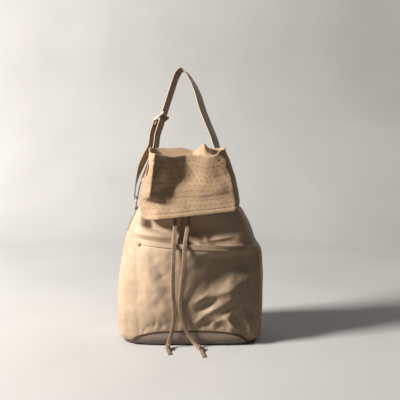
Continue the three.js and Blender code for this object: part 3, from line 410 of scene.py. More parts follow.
# %% Strap and cord leather
def sewn_leather(name, base, deep, pale, half, seam, pitch):
    """A leather strip with pale edges and a row of stitches beside each, read from its own UV map. The pale
    edges are partly the cut leather's own tone and partly a painted highlight.
    """
    made = leather(name, base, deep, pale, grain=1100.0, depth=0.0002, dull=0.46)
    across, along = abs(made.cloth.part(0)), made.cloth.part(1)
    edge = across.within(half - 0.0011, half - 0.0002)
    row = (1.0 - abs(across - seam) * (1.0 / 0.0006)).within(0.0, 0.6)
    dash = (along * (2 * np.pi / pitch)).sine().within(-0.35, 0.05)
    thread = row * dash
    tone = Wire(made.tree.tree, made.shader.inputs["Base Color"].links[0].from_socket)
    # Paler edges: partly the cut leather's own tone, partly a painted highlight where light catches them.
    tone = (edge * 0.8).blend(tone, pale)
    tone = (row * 0.35).blend(tone, deep)
    tone = (thread * 0.8).blend(tone, pale)
    made.give(Base_Color=tone)
    grain = made.place.cells(1100.0)
    made.raised(thread * 1.2 - row * 0.9 - grain * 0.5, 0.00045, 0.9)
    return made


strap_leather = sewn_leather(
    "strap_leather", colour(170, 141, 113), colour(112, 88, 68), colour(206, 180, 150),
    half=0.012, seam=0.0092, pitch=0.0042,
)
# The cord's tones are darker than the strap's as painted shade, for cords that hang half in shadow.
cord_leather = sewn_leather(
    "cord_leather", colour(152, 124, 96), colour(98, 76, 56), colour(188, 162, 132),
    half=0.004, seam=0.0026, pitch=0.0034,
)
print("sewn leathers", strap_leather.material.name, cord_leather.material.name)


# %% Flap weave
def woven_flap():
    """Crossing threads as a product of two sines, slubs as noise drawn out along each thread."""
    made = Finish("flap_leather")
    across, along = made.cloth.part(0), made.cloth.part(1)
    thread = 2 * np.pi / 0.0015
    weft, warp = (along * thread).sine(), (across * thread).sine()
    slubs = made.cloth.stretched((120.0, 900.0, 1.0)).noise(1.0, 3.0)
    streaks = made.cloth.stretched((520.0, 90.0, 1.0)).noise(1.0, 3.0)
    patches = made.cloth.noise(18.0, 4.0).within(0.35, 0.65)
    mesh = weft * warp
    tone = patches.blend(colour(176, 142, 109), colour(193, 160, 125))
    tone = (slubs.within(0.5, 0.72) * 0.5).blend(tone, colour(208, 177, 143))
    tone = (streaks.within(0.52, 0.75) * 0.55).blend(tone, colour(128, 96, 68))
    tone = (mesh.within(0.2, 1.0) * 0.2).blend(tone, colour(118, 88, 62))
    made.give(Base_Color=tone, Roughness=0.62 + 0.15 * patches)
    made.raised(mesh * 0.4 + slubs * 1.1 - streaks * 0.5, 0.0004, 0.9)
    made.give(Specular_IOR_Level=0.35, Sheen_Weight=0.15, Sheen_Roughness=0.5)
    return made


flap_weave = woven_flap()
print("weave", flap_weave.material.name)


# %% Lining, board, thread and metal
def lining_cloth():
    """A plain weave: sines of height and of the two level directions."""
    made = Finish("lining_fabric")
    step = 2 * np.pi / 0.0012
    x, y, z = (made.place.part(k) for k in range(3))
    weave = ((x + y) * step).sine() * (z * step).sine()
    tone = weave.within(-1.0, 1.0).blend(colour(86, 70, 56), colour(124, 105, 86))
    tone = (made.place.noise(20.0).within(0.4, 0.7) * 0.3).blend(tone, colour(140, 120, 98))
    made.give(Base_Color=tone, Roughness=0.85 + 0.1 * weave)
    made.raised(weave, 0.00015)
    return made


def pressed_board():
    """Fibre board: short fibres as stretched noise."""
    made = Finish("board")
    fibres = made.place.stretched((60.0, 400.0, 400.0)).noise(1.0, 4.0)
    made.give(Base_Color=fibres.blend(colour(84, 68, 54), colour(120, 98, 78)), Roughness=0.8 + 0.15 * fibres)
    made.raised(fibres, 0.0003)
    return made


def sewing_thread(name, base, pale, slot):
    """Twisted thread: fine slanted ridges."""
    made = Finish(name, slot)
    x, y, z = (made.place.part(k) for k in range(3))
    twist = ((x + y + z) * (2 * np.pi / 0.0007)).sine()
    made.give(Base_Color=twist.within(-1.0, 1.0).blend(base, pale), Roughness=0.7 + 0.1 * twist)
    made.raised(twist, 0.0001)
    return made


def satin_nickel():
    """Plated metal: brushed scratches in the roughness, a warm tarnish in patches."""
    made = Finish("metal")
    scratches = made.place.stretched((900.0, 900.0, 120.0)).noise(1.0, 3.0)
    tarnish = made.place.noise(160.0, 4.0).within(0.45, 0.75)
    tone = (tarnish * 0.5).blend(colour(152, 140, 122), colour(104, 90, 74))
    made.give(Base_Color=tone, Roughness=0.42 + 0.2 * scratches + 0.12 * tarnish, Metallic=1.0)
    made.raised(scratches, 0.00005, 0.6)
    return made


lining = lining_cloth()
board = pressed_board()
dark_thread = sewing_thread("dark_thread", colour(66, 46, 32), colour(96, 70, 50), "flap_leather")
pale_thread = sewing_thread("pale_thread", colour(150, 124, 98), colour(205, 180, 150), "pouch_leather")
nickel = satin_nickel()
enamel = leather(
    "enamel", colour(166, 138, 110), colour(138, 112, 88), colour(182, 154, 126),
    grain=2600.0, depth=0.00008, dull=0.36, slot="metal",
)
print("finishes", len(bpy.data.materials))

# %% [markdown]
# ## Drawstring tails and knots
#
# Two flat cords leave the eyelets under the flap, hang over the pocket and end on the floor in a stopper knot
# with a short tail. Their routes are the solid model's, point by point, in metres. A cord could be a curve
# with a bevel, but a strip keeps its flat sides and its two rows of stitches.

# %% Cord routes
CORD_WIDTH, CORD_THICK = 8.0, 2.2
ROUTES = {
    "left": [
        (-0.029, -0.0328, 0.323), (-0.029, -0.041, 0.323), (-0.029, -0.046, 0.321),
        (-0.029, -0.049, 0.315), (-0.029, -0.0505, 0.302), (-0.029, -0.052, 0.285),
        (-0.029, -0.0546, 0.264), (-0.0293, -0.059, 0.248), (-0.0298, -0.069, 0.231),
        (-0.0305, -0.08, 0.216), (-0.031, -0.085, 0.203), (-0.0316, -0.089, 0.18),
        (-0.0324, -0.0915, 0.15), (-0.0328, -0.0915, 0.12), (-0.031, -0.0895, 0.092),
        (-0.03, -0.088, 0.07), (-0.033, -0.0866, 0.046), (-0.0365, -0.085, 0.028),
        (-0.041, -0.0855, 0.014), (-0.043, -0.0872, 0.0075), (-0.0434, -0.0894, 0.006),
        (-0.0435, -0.0963, 0.0056), (-0.043, -0.103, 0.0034), (-0.042, -0.108, 0.0016),
        (-0.0404, -0.114, 0.0014), (-0.038, -0.122, 0.0014),
    ],
    "right": [
        (-0.001, -0.033, 0.323), (-0.001, -0.041, 0.323), (-0.001, -0.046, 0.321),
        (-0.001, -0.049, 0.315), (-0.001, -0.0505, 0.302), (-0.0012, -0.052, 0.285),
        (-0.0017, -0.0548, 0.264), (-0.003, -0.059, 0.248), (-0.006, -0.069, 0.231),
        (-0.0084, -0.08, 0.216), (-0.0092, -0.0854, 0.203), (-0.0104, -0.0896, 0.18),
        (-0.013, -0.092, 0.15), (-0.0158, -0.092, 0.122), (-0.018, -0.09, 0.097),
        (-0.017, -0.0885, 0.074), (-0.012, -0.087, 0.05), (-0.0035, -0.0854, 0.031),
        (0.007, -0.0864, 0.014), (0.012, -0.089, 0.008), (0.0156, -0.0926, 0.006),
        (0.0194, -0.0986, 0.0056), (0.0223, -0.1047, 0.0036), (0.024, -0.11, 0.0018),
        (0.026, -0.12, 0.0014), (0.0287, -0.135, 0.0014),
    ],
}
KNOT, KNOT_FLOOR = 21, 0.3  # the knot's place in each route, and its least height
KNOT_OUTLINE = strip_outline(4.6, 2.3, 16, 2.6)


# %% Cords and knots
def stopper_knot(middle, ahead, size=5.0):
    """A trefoil laid along the cord: x = sin t + 2 sin 2t, y = cos t - 2 cos 2t, z = -sin 3t."""
    t = full_turn(120)
    side = unit(np.cross(ahead, np.array([0.0, 0, 1])))
    up = np.cross(side, ahead)
    x, y, z = np.sin(t) + 2 * np.sin(2 * t), np.cos(t) - 2 * np.cos(2 * t), -np.sin(3 * t)
    path = middle + size / 3 * (x[:, None] * ahead * 1.15 + z[:, None] * side * 2.1 + y[:, None] * up * 0.78)
    outward = unit(path - middle)
    ahead_path = unit(np.roll(path, -1, 0) - np.roll(path, 1, 0))
    return sweep(path, np.cross(ahead_path, outward), KNOT_OUTLINE, closed=True), path


for side, route in ROUTES.items():
    points = np.array(route) / MM
    path = spline(points, 220)
    ahead = unit(points[KNOT + 1] - points[KNOT - 1]) * [1, 1, 0.3]
    sections, ring = stopper_knot(points[KNOT], unit(ahead))
    sections[..., 2] = np.maximum(sections[..., 2], KNOT_FLOOR)
    sections = looped(sections)
    run = np.linspace(0, lengths(ring)[-1], len(sections))[:, None]
    knot = add_grid(
        f"stopper_knot_{side}", sections, cord_leather, "bag", (f"knot_{side}",), ring=True, inside=ring[0],
        uv=stacked(KNOT_OUTLINE[:, 0], run),
    )
    cord = add_strip(
        f"cord_{side}", path, (1.0, 0, 0), strip_outline(CORD_WIDTH, CORD_THICK, 20, 4.0), cord_leather,
        "bag", stands_for=(f"drawstring_{side}", f"cord_end_{side}"),
    )
    tuple(points[0] * MM)

# %% [markdown]
# ## The pouch's plain form
#
# A soft pouch could be blown up by a cloth simulation, but its folds would land anywhere. The plain form is a
# superellipse at each height: half the width and half the depth follow smooth lines from floor to mouth. The
# folds that the photograph shows are then laid on it one by one.

# %% Plain form
HEIGHTS = np.array([22.0, 85, 196, 268, 316, 330, 356])
HALF_WIDTHS = np.array([151.5, 154.5, 140, 112, 70, 70, 72])
HALF_DEPTHS = np.array([76.0, 80, 68, 50, 30, 30, 27])
FLOOR_HALF_WIDTH, FLOOR_HALF_DEPTH = 128.0, 61.0
PLAN_POWER, FOOT_POWER, FOOT_RISE = 2.5, 4.6, 110.0
SHOULDER, NECK, MOUTH = 268.0, 316.0, 356.0


def smooth_through(z, values):
    """A cubic between each two heights whose slopes are harmonic means, so that it never overshoots."""
    slope = np.diff(values) / np.diff(HEIGHTS)
    before, after = np.concatenate([[0], slope]), np.concatenate([slope, slope[-1:]])
    same = before * after > 0
    tangent = np.where(same, 2 * before * after / np.where(same, before + after, 1), 0)
    z = np.clip(z, HEIGHTS[0], HEIGHTS[-1])
    i = np.clip(np.searchsorted(HEIGHTS, z) - 1, 0, len(HEIGHTS) - 2)
    span, rise = np.diff(HEIGHTS)[i], np.diff(values)[i]
    t = (z - HEIGHTS[i]) / span
    m0, m1 = tangent[i] * span, tangent[i + 1] * span
    return values[i] + m0 * t + (3 * rise - 2 * m0 - m1) * t**2 + (m0 + m1 - 2 * rise) * t**3


def half_size(z, floor, values):
    """A quarter ellipse at the foot, then the smooth line."""
    down = np.clip(1 - z / HEIGHTS[0], 0, 1)
    return np.where(down > 0, floor + (values[0] - floor) * np.sqrt(1 - down**2), smooth_through(z, values))


def half_width(z):
    """Half the pouch's width at a height."""
    return half_size(z, FLOOR_HALF_WIDTH, HALF_WIDTHS)


def half_depth(z):
    """Half the pouch's depth at a height."""
    return half_size(z, FLOOR_HALF_DEPTH, HALF_DEPTHS)


def plan_power(z):
    """The plan is squarer at the floor than higher up."""
    return FOOT_POWER + (PLAN_POWER - FOOT_POWER) * smooth(z, 0, FOOT_RISE)


def skin(turn, z, out=0.0):
    """A point of the pouch's skin: half sizes times powers of cosine and sine of its turn."""
    power = 2 / plan_power(z)
    x = (half_width(z) + out) * signed_power(np.cos(turn), power)
    y = (half_depth(z) + out) * signed_power(np.sin(turn), power)
    return stacked(x, y, z)


def plan_share(share, z):
    """The plan's other coordinate: (1 - |share|^power)^(1 / power)."""
    power = plan_power(z)
    return (1 - np.clip(np.abs(share), 0, 1) ** power) ** (1 / power)


def skin_y(x, z, out):
    """How far the skin reaches to the front or back at x."""
    return (half_depth(z) + out) * plan_share(x / (half_width(z) + out), z)


def skin_x(y, z, out):
    """How far the skin reaches to either side at y."""
    return (half_width(z) + out) * plan_share(y / (half_depth(z) + out), z)


print("widest", 2 * half_width(85.0), "mm")

# %% [markdown]
# ## Folds
#
# Each fold is a straight line on the front, seen as (x, z): a ridge where its height is positive and a valley
# where it is negative. Its profile is a bell of the distance to the line, and it fades towards both ends.


# %% Fold lines
def folds(x, z, lines, power=2.0):
    """Sum of height * exp(-(distance / width)^power) * fade over all lines; a low power makes a crease."""
    total = np.zeros(np.broadcast(x, z).shape)
    for x0, z0, x1, z1, width, height in lines:
        dx, dz = x1 - x0, z1 - z0
        t = np.clip(((x - x0) * dx + (z - z0) * dz) / (dx * dx + dz * dz), 0, 1)
        near = np.hypot(x - x0 - t * dx, z - z0 - t * dz)
        total = total + height * np.exp(-((near / width) ** power)) * (0.35 + 0.65 * np.sin(np.pi * t))
    return total


def waves(a, b, seed, size, count=10):
    """Gentle unevenness: a sum of sines of seeded directions and phases, about `size` mm apart."""
    rng = np.random.default_rng(seed)
    turn, phase = rng.uniform(0, 2 * np.pi, (2, count))
    pitch = 2 * np.pi / (size * rng.uniform(0.6, 1.6, count))
    angle = [p * (a * np.cos(t) + b * np.sin(t)) + f for p, t, f in zip(pitch, turn, phase)]
    return sum(np.sin(g) for g in angle) / np.sqrt(count)


POCKET_FOLDS = [
    (19, 77, 52, 98, 6.5, -6.0), (24, 66, 64, 88, 8, 3.0), (6, 92, 44, 116, 9, 2.5),
    (66, 68, 96, 91, 6.5, -5.0), (70, 92, 100, 108, 9, 2.5),
    (18, 37, 47, 54, 6, -4.5), (2, 46, 30, 66, 8, 2.5), (48, 50, 74, 62, 8, 2.5),
    (70, 67, 105, 22, 8, 6.0), (54, 52, 84, 24, 7, -5.0), (88, 70, 110, 40, 7, -5.0),
    (24, 106, 112, 120, 13, 3.0), (0, 192, 110, 188, 12, 1.5),
    (-107, 200, -50, 86, 20, 4.0), (-84, 200, -40, 118, 14, -2.4), (-66, 138, -36, 156, 8, -1.6),
    (-72, 120, -40, 132, 10, 1.4), (-90, 60, -46, 74, 14, 1.6), (-70, 92, -56, 82, 7, -1.2),
    (-86, 30, -80, 52, 6, -1.0), (-71, 32, -68, 62, 6, -1.3), (-54, 32, -58, 56, 6, -1.2),
    (-100, 84, -60, 64, 10, -1.5), (-60, 160, -42, 194, 16, 1.4),
]
POUCH_FOLDS = [
    (-110, 228, -34, 220, 6, 6.0), (-110, 256, -50, 254, 9, 3.5),
    (30, 216, 88, 222, 4, 5.0), (102, 238, 118, 224, 16, 4.0),
    (112, 214, 126, 204, 7, -5.0), (116, 84, 134, 52, 9, -9.0),
    (126, 150, 134, 96, 12, -2.5), (116, 44, 126, 20, 10, 6.0), (-126, 150, -136, 96, 14, 2.0),
    (-122, 210, -130, 186, 9, -2.0), (-132, 60, -124, 30, 8, -2.5),
]
BACK_FOLDS = [
    (-95, 74, -30, 112, 26, 4.5), (20, 78, 90, 120, 26, 4.5), (-70, 162, 40, 184, 26, 4.0),
    (60, 196, 108, 150, 24, 3.5), (-60, 50, -20, 70, 9, -1.2), (30, 48, 80, 64, 9, -1.2),
]
CORD_X = {
    "left": ([14, 46, 70, 92, 120, 180, 248], [-41, -33, -30, -31, -32.8, -31.6, -29.3]),
    "right": ([14, 31, 50, 74, 97, 122, 180, 248], [7, -3.5, -12, -17, -18, -15.8, -10.4, -3]),
}


LEFT_TUCK, RIGHT_TUCK, HOLLOW = 16.0, 25.0, 15.0


def tucks(x, z):
    """Two deep tucks under the flap: one above the pocket at the left, one in its mouth at the right."""
    left = smooth(x, -104, -80) * (1 - smooth(x, -22, -12))
    right = smooth(x, -22, -12) * np.clip(1 - x / 112, 0, 1)
    over = z - 222 + 0.237 * (x + 33)
    left = left * smooth(over, 0, 8) * (1 - smooth(over, 18, 54))
    return -LEFT_TUCK * left - RIGHT_TUCK * right * (1 - smooth(z, 236, 282))


def hollow_right(x, z):
    """Above a slanting line, the pocket's upper right part falls back from the cords towards the side."""
    across = smooth(x, -6, 80) * (1 - smooth(x, 116, 146))
    over = z - 104 - 0.4 * x
    return -HOLLOW * across * smooth(over, -22, 22) * (1 - smooth(z, 178, 198))


def beside_cords(x, z):
    """0 under the two cords, 1 away from them, so that no ridge rises into a cord."""
    near = [bump(x, np.interp(z, *CORD_X[side]), 13.0) for side in CORD_X]
    return 1 - np.clip(sum(near), 0, 1)


print("folds", len(POCKET_FOLDS), "on the pocket,", len(POUCH_FOLDS), "on the pouch")

# %% [markdown]
# ## Pouch
#
# The pouch is one ring of leather from the base seam to the frilled mouth. Pleats gather towards the neck,
# where the drawstring pulls it in, and open again in a frill above it.

# %% Pouch sizes
POCKET_HALF, POCKET_TOP, POCKET_TILT = 112.0, 211.0, -0.062
LIP_HIGH, LIP_LOW, LIP_REACH, BASE_OUT = 32.0, 1.5, 0.81, 3.6
PLEATS = 26


def pocket_mouth(x):
    """Height of the pocket's slanting mouth."""
    return POCKET_TOP + POCKET_TILT * x


def lip_height(turn):
    """The base's rim: a crescent in front and behind, low at the sides."""
    share = np.abs(np.cos(turn)) ** (2 / plan_power(LIP_HIGH)) / LIP_REACH
    return LIP_LOW + (LIP_HIGH - LIP_LOW) * np.maximum(0, 1 - share**4)


def pleat_wave(turn):
    """The pleats' rhythm: a cosine of the turn that two slower sines make uneven."""
    return np.cos(PLEATS * turn + 1.2 * np.sin(3 * turn) + 0.7 * np.sin(5 * turn))


def pleats(turn, z):
    """Inward pleats that deepen to the neck, then a frill: the wave times a height ramp."""
    wave = pleat_wave(turn)
    front = 1 - 0.7 * smooth(np.sin(turn), -0.2, 0.3)
    gather = 4.2 * smooth(z, 258, NECK) * (wave - 1) / 2 * (1 - smooth(z, NECK, 332))
    frill = smooth(z, 330, MOUTH) * (1.5 + 3.5 * wave) * front
    return gather + frill


def side_swell(turn, z):
    """The right side bellies out below the pocket's mouth."""
    return 8.0 * (1 - smooth(z, 186, 214)) * smooth(z, 66, 184) ** 1.5 * smooth(np.cos(turn), 0.7, 0.97)


def pouch_shift(turn, z, point):
    """How far the skin stands off its plain form."""
    x, y = point[..., 0], point[..., 1]
    front = smooth(-y, 4, 34)
    back = smooth(y, 4, 34)
    low = 1 - smooth(z, 235, 262)
    in_pocket = smooth(POCKET_HALF - np.abs(x), 8, 14) * smooth(pocket_mouth(x) - z, 3, 12) * front
    in_base = 1 - smooth(z, lip_height(turn) - 1, lip_height(turn) + 5)
    cover = np.maximum(in_pocket, in_base)
    made = folds(x, z, POUCH_FOLDS, 1.6) * front * beside_cords(x, z) + side_swell(turn, z)
    made = made + tucks(x, z) * front
    made = made + (0.6 * waves(x, z, 3, 80) * low + folds(x, z, BACK_FOLDS)) * back
    made = made + 0.14 * waves(x + 2 * y, z, 5, 30) * low
    return made * (1 - cover) - 1.8 * cover + pleats(turn, z) + hollow_right(x, z) * front


# %% Pouch
turn = full_turn(292)[None, :]
foot_rows, belly_rows = np.linspace(0.8, 40, 32), np.linspace(40, 250, 92)
neck_rows = np.linspace(250, MOUTH, 46)
rise = np.concatenate([foot_rows, belly_rows[1:], neck_rows[1:]])[:, None]
plain = skin(turn, rise)
pouch_points = plain + grid_normals(plain, True) * pouch_shift(turn, rise, plain)[..., None]
add_grid(
    "pouch", pouch_points, pouch_leather, "bag", ("front_panel", "back_panel"), ring=True, inside=(0, 0, 150),
    thick=2.4,
)

# %% Side seams
for side, start in (("right", 0.0), ("left", np.pi)):
    z = np.linspace(9, 300, 120)
    path = skin(np.full_like(z, start), z, 0.2 + side_swell(start, z) + 0.4 * np.sin(z / 9))
    add_strip(f"side_seam_{side}", path, (0.0, 1, 0), strip_outline(4.2, 2.0, 12, 2.4), pouch_leather, "bag")

# %% [markdown]
# ## Front pocket
#
# A wide patch pocket stands a finger's width open at its mouth. It carries most of the front's folds. Its
# mouth is turned over and sewn down, which shows as a thicker band.


# %% Pocket
def pocket_stand(x, z):
    """The pocket's room: widest at the middle of its mouth."""
    climb = np.clip((z - LIP_HIGH) / (pocket_mouth(x) - LIP_HIGH), 0, 1)
    return 0.9 + 10 * (1 - (x / POCKET_HALF) ** 2) * climb**1.2


def pocket_point(x, z, out):
    """The pocket's skin: the pouch's, plus the pocket's room."""
    return stacked(x, -skin_y(x, z, pocket_stand(x, z) + out), z)


POCKET_OUT = 2.5
RIM_TURNS = np.linspace(np.pi / 2, 0, 200)
RIM_X = skin(RIM_TURNS, lip_height(RIM_TURNS), BASE_OUT)[:, 0]


def pocket_foot(x):
    """The pocket's foot follows the rim of the base."""
    return np.interp(np.abs(x), RIM_X, lip_height(RIM_TURNS)) + 1.2


def pocket_shift(x, z):
    """Folds, puckers along the base seam and the band of the turned mouth, fading at the sewn sides."""
    below = pocket_mouth(x) - z
    inner = smooth(POCKET_HALF - np.abs(x), 0, 16) * smooth(z, pocket_foot(x), pocket_foot(x) + 14)
    open_part = smooth(below, 4, 22)
    made = folds(x, z, POCKET_FOLDS, 1.5) * (0.25 + 0.75 * beside_cords(x, z))
    made = made + 0.22 * waves(x, z, 8, 26) + 0.8 * waves(x, z, 9, 70)
    pucker = 0.9 * np.cos(x / 2.6 + np.sin(x / 17)) * bump(z, pocket_foot(x) + 4, 7)
    band = 1.4 * (1 - smooth(below, 10, 11.2)) - 0.5 * bump(below, 11.5, 1.2)
    band = band - 4.0 * (1 - smooth(POCKET_HALF - np.abs(x), 0, 34))
    made = np.maximum(made, -1.5 - pocket_stand(x, z))
    return made * inner * open_part + pucker * inner + band + hollow_right(x, z)


x = np.linspace(-POCKET_HALF, POCKET_HALF, 230)[None, :]
share = np.concatenate([np.linspace(0, 0.92, 120), np.linspace(0.92, 1, 36)[1:]])[:, None]
z = pocket_foot(x) + (pocket_mouth(x) + 0.9 * np.sin(x / 23) - pocket_foot(x)) * share
pocket_points = pocket_point(x, z, POCKET_OUT + pocket_shift(x, z))
add_grid(
    "pocket", pocket_points, pouch_leather, "bag", ("pocket_panel", "pocket_hem"), inside=(0, 0, 110),
    thick=2.2,
)

# %% [markdown]
# ## Base
#
# The base is a smoother, greyer leather pulled up in a crescent at the front and back, with a thin piping
# along its rim.

# %% Base
turn = full_turn(320)[None, :]
disc = np.linspace(0, 1, 12)[:-1, None, None] * skin(turn, np.zeros_like(turn), BASE_OUT)
wall = skin(turn, lip_height(turn) * np.linspace(0, 1, 30)[:, None] ** 1.6, BASE_OUT)
base_points = np.concatenate([disc, wall])
add_grid("base", base_points, base_leather, "bag", ("base_panel",), ring=True, inside=(0, 0, 40), thick=2.0)
rim = skin(turn[0], lip_height(turn[0]), BASE_OUT - 0.6)
piping = looped(sweep(rim, (0.0, 0, 1), strip_outline(3.0, 3.0, 10, 2.0), closed=True))
add_grid("base_piping", piping, dark_thread, "bag", ring=True, inside=rim[0])

# %% [markdown]
# ## Inside the mouth
#
# Under the flap a stitched channel holds the drawstring, and a cloth lining hangs inside. They show when the
# flap is lifted.

# %% Channel and inner cord
CHANNEL, LINING_FLOOR, LINING_TOP = 323.0, 7.0, 345.0
turn = full_turn(320)
channel_path = skin(turn, np.full_like(turn, CHANNEL), 2.6 + 0.5 * pleat_wave(turn))
channel = looped(sweep(channel_path, (0.0, 0, 1), strip_outline(13.2, 4.8, 20, 3.0), closed=True))
add_grid("neck_channel", channel, pouch_leather, "bag", ("mouth_casing",), ring=True, inside=channel_path[0])
inner_turn = np.linspace(np.radians(-83), np.radians(241), 150)
inner_path = skin(inner_turn, np.full_like(inner_turn, CHANNEL), 2.0)
add_strip(
    "inner_cord", inner_path, (0.0, 0, 1), strip_outline(7.6, 1.8, 16, 4.0), cord_leather, "bag",
    stands_for=("drawstring_loop",),
)

# %% Lining
turn = turn[None, ::2]
rows = np.linspace(LINING_FLOOR, LINING_TOP, 90)[:, None]
floor_rim = skin(turn, np.full_like(turn, LINING_FLOOR), -6) * [1, 1, 0]
floor = np.linspace(0, 1, 8)[:-1, None, None] * floor_rim
sunk = np.minimum(pouch_shift(turn, rows, skin(turn, rows)), 0)
sunk = np.min([np.roll(sunk, (i, j), (0, 1)) for i in (-2, -1, 0, 1, 2) for j in (-1, 0, 1)], 0)
hung = skin(turn, rows, sunk - 6.5 + 0.4 * waves(40 * turn, rows, 12, 30))
lining_points = np.concatenate([floor + [0, 0, LINING_FLOOR], hung])
lining_quads = grid_quads(*lining_points.shape[:2], True)
lining_bag = add_piece(
    "lining_bag", lining_points, lining_quads, lining, "bag", ("lining",), inside=(0, 0, 150), thick=0.8,
)

# %% [markdown]
# ## Flap
#
# The flap is one stiff sheet folded over the mouth: a box-like hood with a front, two wings and a hollow top.
# A vertical corner stands out at the left, the front behind it is pushed in, and the lowest third hangs as a
# straight band. The sheet is a grid over the turn and the way from the free edge up the wall and back over
# the top. The corner of wall and top is rounded by averaging neighbouring rows.

# %% Flap form
WING, REAR = np.radians(100), np.radians(104)
FLAP_EDGE, FRONT_RIM, BACK_RIM, WING_EDGE = 266.5, 388.0, 400.0, 292.0
HOOD_MIDDLE, HOOD_HALF, HOOD_FRONT, HOOD_REAR = -12.0, 104.0, 61.5, 53.1
LEFT_TAPER, RIGHT_TAPER, FRONT_TAPER, REAR_TAPER = 22.0, 32.0, 11.5, 29.1


def hood_climb(z):
    """Share of the way up from the flap's edge to its back rim."""
    return np.clip((z - FLAP_EDGE) / (BACK_RIM - FLAP_EDGE), 0, 1)


def hood_half(right, climb):
    """Half the hood's width, which narrows more at its right than at its left."""
    return HOOD_HALF - np.where(right, RIGHT_TAPER, LEFT_TAPER) * climb**2


def hood_front(climb):
    """How far the hood's front stands before its middle."""
    return HOOD_FRONT - FRONT_TAPER * climb + HOOD_MIDDLE


def hood(turn, z, inset=0.0):
    """The hood's plan: a superellipse of power 3 in front and 2.4 behind, which narrows upwards."""
    climb = hood_climb(z)
    wide = hood_half(np.sin(turn) >= 0, climb) - inset
    front = hood_front(climb) - inset
    rear = HOOD_REAR - REAR_TAPER * (z - SHOULDER) / (BACK_RIM - SHOULDER) - HOOD_MIDDLE - inset
    s, c = np.sin(turn), np.cos(turn)
    power = np.where(c > 0, 2 / 3, 2 / 2.4)
    deep = np.where(c > 0, -front, rear) * np.abs(c) ** power
    return stacked(wide * signed_power(s, power), HOOD_MIDDLE + deep, z)


def edge_height(turn):
    """The free edge, which slants along the front and rises to the ends of the wings."""
    wing = smooth(np.abs(turn), WING * 0.5, WING * 0.92)
    return (1 - wing) * (FLAP_EDGE + 0.11 * hood(turn, FLAP_EDGE)[..., 0]) + wing * WING_EDGE


def rim_height(turn):
    """The front rim, which dips and rises as in a sheet that was never pressed flat."""
    x = hood(turn, FRONT_RIM)[..., 0]
    wander = np.interp(x, [-76, -66, -37, -5, 9, 27, 47, 68], [5, 5, -3, 2, 2, -5, -2, 11])
    back = smooth(np.abs(turn), WING * 0.5, WING)
    return FRONT_RIM + wander * (1 - back) + (BACK_RIM - FRONT_RIM) * back


def rim_dip(x):
    """The back rim sags by 5 mm near its middle."""
    return 5 * bump(x, 2, 13)


def flap_top(turn, share):
    """From the front rim to the back rim: a hollow with one pinched fold."""
    rim = hood(turn, rim_height(turn))
    behind = np.sign(turn + 1e-9) * (np.pi + (REAR - np.pi) * np.abs(turn) / WING)
    rear = hood(behind, BACK_RIM)
    rear[..., 2] -= rim_dip(rear[..., 0])
    point = rim + (rear - rim) * share[..., None]
    bow = np.sin(np.pi * share)
    pinch = np.clip(1 - np.abs(point[..., 0] - 29 + 6 * (share - 0.5)) / 20, 0, 1) ** 0.8
    corner = bump(point[..., 0], -64, 12) * bump(share, 0.25, 0.2)
    lift = 34 * pinch * bow - 15 * bow * (1 - (turn / WING) ** 2) - 7 * corner
    point[..., 2] += lift
    return point


FLAP_FOLDS = [
    (-94, 300, -14, 297, 6, 3.0), (-10, 298, 98, 326, 14, 2.4), (34, 366, 94, 340, 22, -3.0),
    (92, 331, 104, 322, 8, 2.0), (84, 308, 104, 292, 10, -1.5), (50, 396, 74, 404, 9, 3.0),
]
PULLED, PUSHED = 17.0, 13.0


def front_y(x, z):
    """The hood's plain front as a function of x: the same superellipse solved for y."""
    climb = hood_climb(z)
    share = np.clip(np.abs(x) / hood_half(x >= 0, climb), 0, 1)
    return HOOD_MIDDLE - hood_front(climb) * (1 - share**3) ** (1 / 3)


def flap_corner(x, z):
    """The left corner is pulled forward: a flat facet falls from its ridge to the pushed-in middle."""
    ridge = -66 - 14 * (412 - z) / 116
    high = smooth(z, 306, 352)
    pulled = (PULLED + 4 * (1 - high)) * smooth(z, 286, 312)
    pushed, middle = PUSHED * (0.26 + 0.74 * high), -8 - 28 * (1 - high)
    fall = np.clip((x - ridge) / (middle - ridge), 0, 1)
    facet = (front_y(ridge, z) - pulled) * (1 - fall) + (front_y(middle, z) + pushed) * fall
    left = pulled * (1 - smooth(ridge - x, 0, 30))
    right = -pushed * (1 - smooth(x, middle, 56))
    fold = np.where(x < ridge, left, np.where(x < middle, front_y(x, z) - facet, right))
    return fold * smooth(z, 290, 304)


def flap_band(x, z):
    """The front stays flat as far as its right corner, instead of following the hood's round plan."""
    flat = front_y(25.0, z) + (0.05 + 0.06 * smooth(z, 326, 350)) * (x - 25)
    edge = hood_half(True, hood_climb(z))
    reach = smooth(x, 22, 34) * (1 - smooth(x - edge, -12, 3)) * (1 - smooth(z, 372, 396))
    return np.maximum(front_y(x, z) - flat, 0) * reach


def soften(rows):
    """Replaces each row by half of itself and a quarter of each neighbour."""
    rows[1:-1] = 0.25 * rows[:-2] + 0.5 * rows[1:-1] + 0.25 * rows[2:]


WALL_ROWS, TOP_ROWS, FLAP_COLUMNS = 96, 64, 260
HEM_KICK, ROW_ROUNDS, COLUMN_ROUNDS = 9.0, 10, 6

